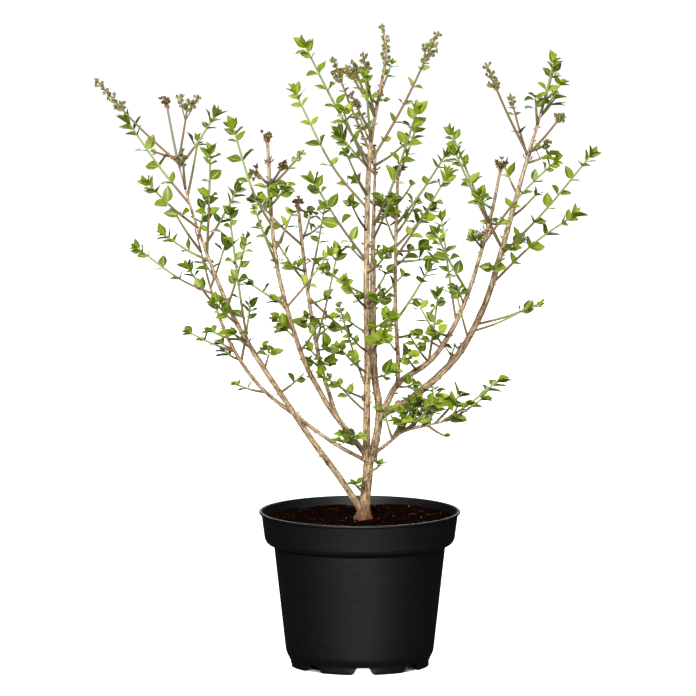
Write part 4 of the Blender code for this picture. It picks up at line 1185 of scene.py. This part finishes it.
def pot_wall_inside():
    """The pot's inner side, from the centre of its floor up to the lip, with the rounding of each corner."""
    floor = FLOOR_UNDERSIDE + POT_WALL
    return [
        (0.0, POT_WALL, 0.0),
        (PAD_RADIUS, POT_WALL, 0.001),
        (PAD_RADIUS + PAD_SLOPE, floor, 0.001),
        (SKIRT_TOP_RADIUS - POT_WALL, floor, 0.002),
        (BODY_FOOT_RADIUS - POT_WALL, BODY_FOOT, 0.002),
        (LEDGE_RADIUS - POT_WALL, LEDGE, 0.001),
        (LEDGE_RADIUS, LEDGE + POT_WALL, 0.001),
        (COLLAR_FOOT_RADIUS - 2 * POT_WALL, LEDGE + 2 * POT_WALL, 0.003),
        (COLLAR_FOOT_RADIUS - POT_WALL, COLLAR_FOOT, 0.003),
        (COLLAR_TOP_RADIUS - POT_WALL, POT_HEIGHT - LIP_HEIGHT, 0.001),
    ]


def pot_outline():
    outside = [
        (LIP_RADIUS - 2.2 * POT_WALL, POT_HEIGHT, 0.0008),
        (LIP_RADIUS, POT_HEIGHT, 0.0012),
        (LIP_RADIUS, POT_HEIGHT - LIP_HEIGHT, 0.0010),
        (COLLAR_TOP_RADIUS, POT_HEIGHT - LIP_HEIGHT - 0.0004, 0.0008),
        (COLLAR_FOOT_RADIUS, COLLAR_FOOT, 0.0040),
        (COLLAR_FOOT_RADIUS - 2.2 * POT_WALL, LEDGE + 0.6 * POT_WALL, 0.0020),
        (LEDGE_RADIUS + POT_WALL, LEDGE, 0.0008),
        (LEDGE_RADIUS, LEDGE - POT_WALL, 0.0008),
        (BODY_FOOT_RADIUS, BODY_FOOT, 0.0060),
        (SKIRT_TOP_RADIUS, SKIRT_TOP, 0.0010),
        (SKIRT_FOOT_RADIUS, 0.0, 0.0005),
        (SKIRT_FOOT_RADIUS - POT_WALL, 0.0, 0.0005),
        (SKIRT_TOP_RADIUS - POT_WALL, FLOOR_UNDERSIDE, 0.0010),
        (PAD_RADIUS + 2 * PAD_SLOPE, FLOOR_UNDERSIDE, 0.0010),
        (PAD_RADIUS, 0.0, 0.0008),
        (0.0, 0.0, 0.0),
    ]
    return rounded(pot_wall_inside() + outside)


def turned(name, outline, sides):
    """A solid turned about Z from an outline of (radius, height) that starts and ends on the axis."""
    shape = bmesh.new()
    ends = [shape.verts.new((0.0, 0.0, outline[0][1])), shape.verts.new((0.0, 0.0, outline[-1][1]))]
    rings = [[shape.verts.new(point) for point in ring(*row, sides)] for row in outline[1:-1]]
    for number in range(sides):
        after = (number + 1) % sides
        shape.faces.new((ends[0], rings[0][number], rings[0][after]))
        shape.faces.new((ends[1], rings[-1][after], rings[-1][number]))
        for low, high in zip(rings, rings[1:]):
            shape.faces.new((low[number], high[number], high[after], low[after]))
    bmesh.ops.recalc_face_normals(shape, faces=shape.faces)
    return from_shape(name, shape)


def ring_of_cutters(name, outline, inner, outer):
    """Prisms round the axis, each with the same outline of (half width, height)."""
    shape = bmesh.new()
    corners = [*outline, *((-half, height) for half, height in reversed(outline))]
    for number in range(NOTCHES):
        turn = Matrix.Rotation(FIRST_NOTCH + math.tau * number / NOTCHES, 3, "Z")
        near = [shape.verts.new(turn @ Vector((inner, y, z))) for y, z in corners]
        far = [shape.verts.new(turn @ Vector((outer, y, z))) for y, z in corners]
        shape.faces.new(near)
        shape.faces.new(far)
        for low in range(len(corners)):
            high = (low + 1) % len(corners)
            shape.faces.new((near[low], near[high], far[high], far[low]))
    bmesh.ops.recalc_face_normals(shape, faces=shape.faces)
    return from_shape(name, shape)


def build_pot():
    pot = turned("pot_shell", pot_outline(), POT_SIDES)
    deep = SKIRT_FOOT_RADIUS + NOTCH_DEPTH
    drain = ((DRAIN_WIDTH / 2, FLOOR_UNDERSIDE - POT_WALL), (DRAIN_WIDTH / 2, FLOOR_UNDERSIDE + 2 * POT_WALL))
    drain_edge = SKIRT_TOP_RADIUS - 3 * POT_WALL
    cutters = [
        ring_of_cutters("openings", NOTCH_OUTLINE, SKIRT_FOOT_RADIUS - NOTCH_DEPTH, deep),
        ring_of_cutters("recesses", RECESS_OUTLINE, SKIRT_FOOT_RADIUS - RECESS_DEPTH, deep),
        ring_of_cutters("drains", drain, drain_edge - DRAIN_LENGTH, drain_edge),
    ]
    for cutter in cutters:
        taken = pot.modifiers.new(cutter.name, "BOOLEAN")
        taken.operation = "DIFFERENCE"
        taken.object = cutter
        taken.solver = "MANIFOLD"
    bpy.context.view_layer.update()
    graph = bpy.context.evaluated_depsgraph_get()
    mesh = bpy.data.meshes.new_from_object(pot.evaluated_get(graph))
    pot.modifiers.clear()
    pot.data = mesh
    for cutter in cutters:
        bpy.data.objects.remove(cutter)
    mesh.shade_smooth()
    mesh.set_sharp_from_angle(angle=POT_SHARP)
    mesh.materials.clear()
    mesh.materials.append(pot_look())
    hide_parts("pot")
    return pot


@functools.cache
def soil_edge():
    """The soil's radius where its top meets the pot."""
    rise = (SOIL_TOP - SOIL_EDGE_DROP - COLLAR_FOOT) / (POT_HEIGHT - LIP_HEIGHT - COLLAR_FOOT)
    inside = COLLAR_FOOT_RADIUS - POT_WALL + rise * (COLLAR_TOP_RADIUS - COLLAR_FOOT_RADIUS)
    return inside - SOIL_TOP_GAP


def soil_height(x, y):
    """The rough top of the soil, a little lower towards the pot and higher behind the trunk on the right."""
    lumps = sum(part * noise.noise(Vector((x * close, y * close, seed))) for close, part, seed in SOIL_LUMPS)
    away = math.hypot(x - SOIL_HEAP_X, y - SOIL_HEAP_Y)
    heap = SOIL_HEAP * math.exp(-(away / SOIL_HEAP_WIDTH) ** 2)
    dish = SOIL_DISH * (math.hypot(x, y) / soil_edge()) ** 4
    return SOIL_TOP - SOIL_SINK - dish + heap + SOIL_RELIEF * lumps


def build_soil():
    """The soil's rough top, and its sides a little inside the pot."""
    heap = Heap("soil_bed")
    rows = []
    for radius in np.linspace(SOIL_MIDDLE, soil_edge(), SOIL_ROWS):
        rows.append([(x, y, soil_height(x, y)) for x, y, _ in ring(radius, 0.0, SOIL_SIDES)])
    for radius, height, _ in reversed(pot_wall_inside()[:-1]):
        rows.append(ring(max(radius - SOIL_GAP, SOIL_MIDDLE), height + SOIL_GAP, SOIL_SIDES))
    heap.add(rows, tube_faces(len(rows), SOIL_SIDES)[:, ::-1], 0)
    soil = heap.piece([soil_look()])
    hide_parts("soil")
    return soil


LUMP_SIDES = 6
LUMP_ROWS = ((-0.9, 0.35), (-0.4, 0.9), (0.25, 1.0), (0.8, 0.55), (1.0, 0.1))


def soil_spot(chance):
    """A place on the soil's top."""
    radius = (soil_edge() - CRUMB_MARGIN) * math.sqrt(chance.random())
    angle = chance.uniform(0.0, math.tau)
    x = radius * math.cos(angle)
    y = radius * math.sin(angle)
    return Vector((x, y, soil_height(x, y)))


def add_crumb(heap, pale, chance):
    spot = soil_spot(chance)
    size = chance.uniform(*GRAIN_SIZE) if pale else chance.uniform(*CRUMB_SIZE) * chance.uniform(0.5, 1.0)
    heading = Vector((chance.gauss(0, 1), chance.gauss(0, 1), chance.gauss(0, 1))).normalized()
    centres = [spot + size * height * heading for height, _ in LUMP_ROWS]
    radii = [size * wide * chance.uniform(0.55, 1.05) for _, wide in LUMP_ROWS]
    relief = np.array([[chance.uniform(-0.25, 0.25) for _ in range(LUMP_SIDES)] for _ in LUMP_ROWS])
    add_tube(heap, centres, radii, LUMP_SIDES, chance.choice((3, 4) if pale else (0, 0, 1, 2)), relief)


def add_fibre(heap, chance):
    """A bent fibre that follows the soil's top, left out where it would reach the pot."""
    spot = soil_spot(chance)
    bearing = chance.uniform(0.0, math.tau)
    length = chance.uniform(*FIBRE_LENGTH)
    level = Vector((math.cos(bearing), math.sin(bearing), 0.0))
    side = Vector((-level.y, level.x, 0.0))
    middle = spot + 0.5 * length * level + chance.uniform(-0.25, 0.25) * length * side
    end = spot + length * level
    if math.hypot(end.x, end.y) > soil_edge() - FIBRE_MARGIN:
        return
    line = []
    for place in (spot, middle, end):
        line.append((place.x, place.y, soil_height(place.x, place.y) + chance.uniform(0.0002, 0.0008)))
    _, centres = Route(line, steps=6).places(0.0, 1.0, 0.0015)
    add_tube(heap, centres, [chance.uniform(*FIBRE_RADIUS)] * len(centres), 4, chance.choice((1, 2, 4)))


def build_crumbs():
    """Loose crumbs, pale grains and fibres that lie on the soil."""
    heap = Heap("soil_crumbs")
    chance = random.Random("crumbs")
    for number in range(CRUMBS):
        add_crumb(heap, number % GRAIN_EVERY == 0, chance)
    for _ in range(FIBRES):
        add_fibre(heap, chance)
    crumbs = heap.piece(plain_looks(CRUMB_LOOKS))
    return crumbs


def srgb(red, green, blue):
    """A linear colour from a screen's values of 0 to 255."""
    return tuple(
        (value / 255 / 12.92) if value <= 10 else ((value / 255 + 0.055) / 1.055) ** 2.4
        for value in (red, green, blue)
    )


def add_node(tree, kind, inputs, **settings):
    """A new shader node. Each input is joined to another node's output or set to a value."""
    node = tree.nodes.new("ShaderNode" + kind)
    for name, value in settings.items():
        setattr(node, name, value)
    for socket, value in inputs.items():
        if isinstance(value, bpy.types.NodeSocket):
            tree.links.new(value, node.inputs[socket])
        else:
            node.inputs[socket].default_value = value
    return node


def stretched(tree, pattern, low, high, start, stop):
    """A pattern's range from start to stop, stretched to run from low to high."""
    ends = {"From Min": start, "From Max": stop, "To Min": low, "To Max": high}
    return add_node(tree, "MapRange", {"Value": pattern, **ends}).outputs["Result"]


class Look:
    """A material whose shader takes patterns."""

    def __init__(self, name, colour, roughness, specular):
        self.made = bpy.data.materials.new(name)
        self.made.use_nodes = True
        self.made.diffuse_color = (*colour, 1.0)
        self.tree = self.made.node_tree
        self.shader = self.tree.nodes["Principled BSDF"]
        self.set("Base Color", (*colour, 1.0))
        self.set("Roughness", roughness)
        self.set("Specular IOR Level", specular)

    def set(self, socket, value):
        self.shader.inputs[socket].default_value = value

    def wire(self, output, socket):
        self.tree.links.new(output, self.shader.inputs[socket])

    def node(self, kind, output, inputs, **settings):
        return add_node(self.tree, kind, inputs, **settings).outputs[output]

    def place(self, stretch=(1.0, 1.0, 1.0)):
        """Coordinates in the object's own frame."""
        own = self.node("TexCoord", "Object", {})
        return self.node("Mapping", "Vector", {"Scale": stretch, "Vector": own})

    def grain(self, stretch=(1.0, 1.0, 1.0)):
        """Coordinates on each limb, leaf or bud by itself."""
        own = self.node("Attribute", "Vector", {}, attribute_name="grain")
        return self.node("Mapping", "Vector", {"Scale": stretch, "Vector": own})

    def noise(self, coordinates, scale, detail=3.0, rough=0.55):
        inputs = {"Scale": scale, "Detail": detail, "Roughness": rough, "Vector": coordinates}
        return self.node("TexNoise", "Fac", inputs)

    def ramp(self, pattern, stops):
        made = add_node(self.tree, "ValToRGB", {"Fac": pattern})
        while len(made.color_ramp.elements) < len(stops):
            made.color_ramp.elements.new(0.5)
        for element, (place, colour) in zip(made.color_ramp.elements, stops):
            element.position = place
            element.color = (*colour, 1.0)
        return made.outputs["Color"]

    def mix(self, share, first, second):
        return self.node("Mix", "Result", {"Factor": share, "A": first, "B": second}, data_type="RGBA")

    def node_rings(self, uneven):
        """Narrow uneven rings round a limb, one at each node."""
        along = self.node("SeparateXYZ", "Z", {"Vector": self.grain()})
        shifted = self.node("Math", "Value", {0: uneven, 1: 0.0035, 2: along}, operation="MULTIPLY_ADD")
        distance = self.node("Math", "Value", {0: shifted, 1: NODE_STEP / 2}, operation="PINGPONG")
        return self.spread(distance, 0.22, 0.0, 0.0004, 0.0014)

    def spread(self, pattern, low, high, start=0.35, stop=0.65):
        return stretched(self.tree, pattern, low, high, start, stop)

    def bump(self, pattern, height, strength=1.0, under=None):
        inputs = {"Distance": height, "Strength": strength, "Height": pattern}
        if under:
            inputs["Normal"] = under
        return self.node("Bump", "Normal", inputs)


def plain_look(name, colour, roughness, scale, height, specular):
    """One plain colour, with a fine rough skin."""
    look = Look(name, srgb(*colour), roughness, specular)
    pattern = look.noise(look.place(), scale)
    look.wire(look.spread(pattern, roughness - 0.10, min(roughness + 0.10, 1.0)), "Roughness")
    look.wire(look.bump(pattern, height), "Normal")
    return look.made


def plain_looks(rows):
    return [plain_look(*row) for row in rows]


def pot_look():
    """Black moulded plastic: a fine satin skin, faint sink marks and a little dust."""
    look = Look("pot_black_plastic", srgb(4, 4, 4), 0.52, 0.36)
    broad = look.noise(look.place(), 14, 4.0)
    scuffs = look.noise(look.place((1.0, 1.0, 6.0)), 60, 5.0, 0.7)
    fine = look.noise(look.place(), 1900, 2.0)
    dust = look.ramp(broad, ((0.30, srgb(3, 3, 3)), (0.62, srgb(5, 5, 5)), (0.80, srgb(9, 9, 9))))
    look.wire(dust, "Base Color")
    look.wire(look.spread(scuffs, 0.48, 0.56), "Roughness")
    look.wire(look.bump(fine, 0.00005, 0.6, look.bump(broad, 0.0004, 0.5)), "Normal")
    return look.made


def soil_look():
    """Dark peat with reddish and pale crumbs."""
    look = Look("soil_peat", srgb(14, 7, 4), 0.95, 0.0)
    broad = look.noise(look.place(), 90, 5.0, 0.65)
    fine = look.noise(look.place(), 700, 4.0, 0.7)
    base = look.ramp(broad, ((0.32, srgb(7, 2, 1)), (0.52, srgb(13, 6, 3)), (0.70, srgb(24, 12, 8))))
    specks = look.ramp(fine, ((0.30, srgb(5, 2, 1)), (0.68, srgb(18, 10, 7)), (0.77, srgb(80, 54, 38))))
    share = look.spread(look.noise(look.place(), 320, 2.0), 0.15, 0.85)
    look.wire(look.mix(share, base, specks), "Base Color")
    look.wire(look.bump(fine, 0.0010, 0.9, look.bump(broad, 0.0016, 0.8)), "Normal")
    return look.made


def bark_look(name, dark, middle, light, warm_foot=None):
    """Bark with long streaks, small cracks and corky spots, reddish at the soil where warm_foot is given."""
    look = Look(name, middle, 0.72, 0.25)
    streaks = look.noise(look.grain((1.0, 1.0, 0.16)), 620, 5.0, 0.65)
    cracks = look.noise(look.grain((1.0, 1.0, 0.30)), 1100, 4.0, 0.7)
    patches = look.noise(look.place(), 55)
    spots = look.node("TexVoronoi", "Distance", {"Scale": 420, "Vector": look.grain((1.0, 1.0, 0.5))})
    base = look.ramp(streaks, ((0.35, dark), (0.47, middle), (0.60, light)))
    pale = look.ramp(streaks, ((0.34, middle), (0.56, light)))
    rings = look.ramp(streaks, ((0.3, dark), (0.7, srgb(138, 82, 52))))
    colour = look.mix(look.spread(patches, 0.0, 0.8), base, pale)
    colour = look.mix(look.spread(cracks, 0.90, 0.0, 0.38, 0.47), colour, (*dark, 1.0))
    colour = look.mix(look.spread(cracks, 0.0, 0.70, 0.57, 0.66), colour, (*light, 1.0))
    colour = look.mix(look.node_rings(streaks), colour, rings)
    if warm_foot:
        height = look.node("SeparateXYZ", "Z", {"Vector": look.place()})
        foot = look.ramp(streaks, ((0.25, srgb(50, 24, 14)), (0.60, warm_foot)))
        colour = look.mix(look.spread(height, 0.85, 0.0, SOIL_TOP, SOIL_TOP + WARM_FOOT), colour, foot)
    look.wire(colour, "Base Color")
    look.wire(look.spread(streaks, 0.62, 0.85), "Roughness")
    fissures = look.bump(streaks, 0.00055, 0.9)
    look.wire(look.bump(look.spread(spots, 1.0, 0.0, 0.05, 0.35), 0.00025, 0.6, fissures), "Normal")
    return look.made


def leaf_look(name, colour):
    """A smooth leaf with a faint sheen and raised veins."""
    look = Look(name, srgb(*colour), LEAF_ROUGHNESS, 0.35)
    lengthwise = look.grain((1.0, 0.55, 1.0))
    veins = look.node("TexWave", "Fac", {"Scale": 130, "Distortion": 2.0, "Vector": lengthwise})
    skin = look.noise(look.place(), 1300, 2.0)
    look.wire(look.spread(skin, LEAF_ROUGHNESS - 0.08, LEAF_ROUGHNESS + 0.10), "Roughness")
    look.wire(look.bump(veins, 0.00012, 0.5, look.bump(skin, 0.00006, 0.5)), "Normal")
    return look.made


def leaf_looks():
    greens = [leaf_look(f"leaf_green_{number}", shade) for number, shade in enumerate(LEAF_GREENS)]
    return [*greens, leaf_look("leaf_rib", LEAF_RIB)]


def build_plant():
    """Bark, twigs, leaves, flower buds and seed heads, each grown into one piece."""
    routes = limb_routes()
    space, grown = grow_shoots(routes)
    heaps = {name: Heap(name) for name in ("bark", "twigs", "leaves", "flower_buds", "seed_heads")}
    add_trunk(heaps["bark"], routes["trunk"])
    for limb in LIMBS:
        route = routes[limb.name]
        if limb.bare:
            parent = LIMB_BY_NAME.get(limb.parent)
            add_limb(heaps["bark"], limb, route, parent.foot_radius if parent else TRUNK_TOP_RADIUS)
            add_knobs(heaps["bark"], limb, route)
        grow_mass(heaps, limb, route, grown[limb.name], space)
    for name, share, bearing, size in KNOTS:
        radius = trunk_radius if name == "trunk" else limb_radius(LIMB_BY_NAME[name])
        add_knot(heaps["bark"], routes[name], radius(share), share, bearing, size)
    for name, share, spread in WHORLS:
        chance = random.Random(f"whorl {name} {share}")
        dry_whorl(heaps, routes[name], share, limb_radius(LIMB_BY_NAME[name])(share), spread, chance)
    bark = heaps["bark"].piece([
        bark_look("bark_old", srgb(40, 22, 9), srgb(113, 88, 58), srgb(192, 166, 130), srgb(96, 48, 24)),
        bark_look("bark_young", srgb(62, 44, 28), srgb(134, 110, 80), srgb(198, 178, 144)),
        *plain_looks(KNOT_AND_SCAR_LOOKS),
    ])
    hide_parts("trunk", *("bough_" + limb.name for limb in LIMBS if limb.bare))
    twigs = heaps["twigs"].piece(plain_looks(TWIG_LOOKS))
    leaves = heaps["leaves"].piece(leaf_looks())
    buds = heaps["flower_buds"].piece(plain_looks(BUD_LOOKS))
    seeds = heaps["seed_heads"].piece(plain_looks(SEED_LOOKS))
    for piece in (twigs, leaves, buds, seeds):
        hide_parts(*("foliage_" + limb.name for limb in LIMBS))
    return [bark, twigs, leaves, buds, seeds]


def softbox(name, place, aim, width, height, power):
    data = bpy.data.lights.new(name, "AREA")
    data.shape = "RECTANGLE"
    data.size = width
    data.size_y = height
    data.energy = power
    lamp = link(name, data)
    lamp.location = place
    lamp.rotation_mode = "QUATERNION"
    lamp.rotation_quaternion = (Vector((0.0, 0.0, aim)) - Vector(place)).to_track_quat("-Z", "Y")


def lit_for_the_eye(tree, seen, unseen, output):
    """Shows one shader to the camera and lights the plant with another."""
    path = tree.nodes.new("ShaderNodeLightPath")
    mixed = add_node(tree, "MixShader", {"Fac": path.outputs["Is Camera Ray"], 1: unseen, 2: seen})
    tree.links.new(mixed.outputs["Shader"], tree.nodes[output].inputs["Surface"])


def build_floor():
    """A pale floor that the camera sees as white, with a painted shadow under the pot beside its middle,
    where its glow is turned off.
    """
    shape = bmesh.new()
    bmesh.ops.create_circle(shape, cap_ends=True, segments=96, radius=FLOOR_RADIUS)
    floor = from_shape("floor", shape)
    look = Look("floor_pale", srgb(220, 220, 220), 0.95, 0.0)
    look.set("Emission Color", (1.0, 1.0, 1.0, 1.0))
    # Painted shadow under the pot: the floor's glow is turned off in a ring under it, beside a strip down the
    # middle that stays white.
    across_view = look.node("SeparateXYZ", "X", {"Vector": look.place()})
    away = look.node("VectorMath", "Value", {0: look.place()}, operation="LENGTH")
    aside = look.node("Math", "Value", {0: across_view}, operation="ABSOLUTE")
    beside = look.spread(aside, 0.0, 1.0, *PAINTED_SHADOW_ASIDE)
    under = look.spread(away, 1.0, 0.0, *PAINTED_SHADOW_REACH)
    dark = look.node("Math", "Value", {0: beside, 1: under}, operation="MULTIPLY")
    look.wire(look.spread(dark, 1.0, 0.0, 0.0, 1.0), "Emission Strength")
    dim = look.node("BsdfDiffuse", "BSDF", {"Color": (0.03, 0.03, 0.03, 1.0)})
    lit_for_the_eye(look.tree, look.shader.outputs["BSDF"], dim, "Material Output")
    floor.data.materials.append(look.made)


def build_surround():
    """A surround that the camera sees as white, and that lights the plant mostly from the front."""
    world = bpy.data.worlds.new("surround")
    world.use_nodes = True
    tree = world.node_tree
    backdrop = tree.nodes["Background"]
    backdrop.inputs["Color"].default_value = (1.0, 1.0, 1.0, 1.0)
    backdrop.inputs["Strength"].default_value = 1.0
    way = add_node(tree, "TexCoord", {}).outputs["Generated"]
    depth = add_node(tree, "SeparateXYZ", {"Vector": way}).outputs["Y"]
    strength = stretched(tree, depth, AMBIENT, AMBIENT_BEHIND, -1.0, -0.35)
    ambient = add_node(tree, "Background", {"Color": (1.0, 0.99, 0.96, 1.0), "Strength": strength})
    lit_for_the_eye(tree, backdrop.outputs["Background"], ambient.outputs["Background"], "World Output")
    bpy.context.scene.world = world


def build_camera():
    data = bpy.data.cameras.new("camera")
    data.sensor_width = SENSOR
    data.lens = SENSOR * VIEW_DISTANCE / VIEW_WIDTH
    data.clip_end = 100.0
    camera = link("camera", data)
    back = Vector((0.0, -math.cos(VIEW_RISE), math.sin(VIEW_RISE)))
    camera.location = VIEW_CENTRE + VIEW_DISTANCE * back
    camera.rotation_mode = "QUATERNION"
    camera.rotation_quaternion = (-back).to_track_quat("-Z", "Y")
    bpy.context.scene.camera = camera


build_camera()
build_floor()
build_surround()
for row in SOFTBOXES:
    softbox(*row)
for piece in [build_pot(), build_soil(), build_crumbs(), *build_plant()]:
    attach(piece, "root")
bpy.context.scene.view_settings.view_transform = "Standard"
bpy.context.scene.view_settings.look = "None"
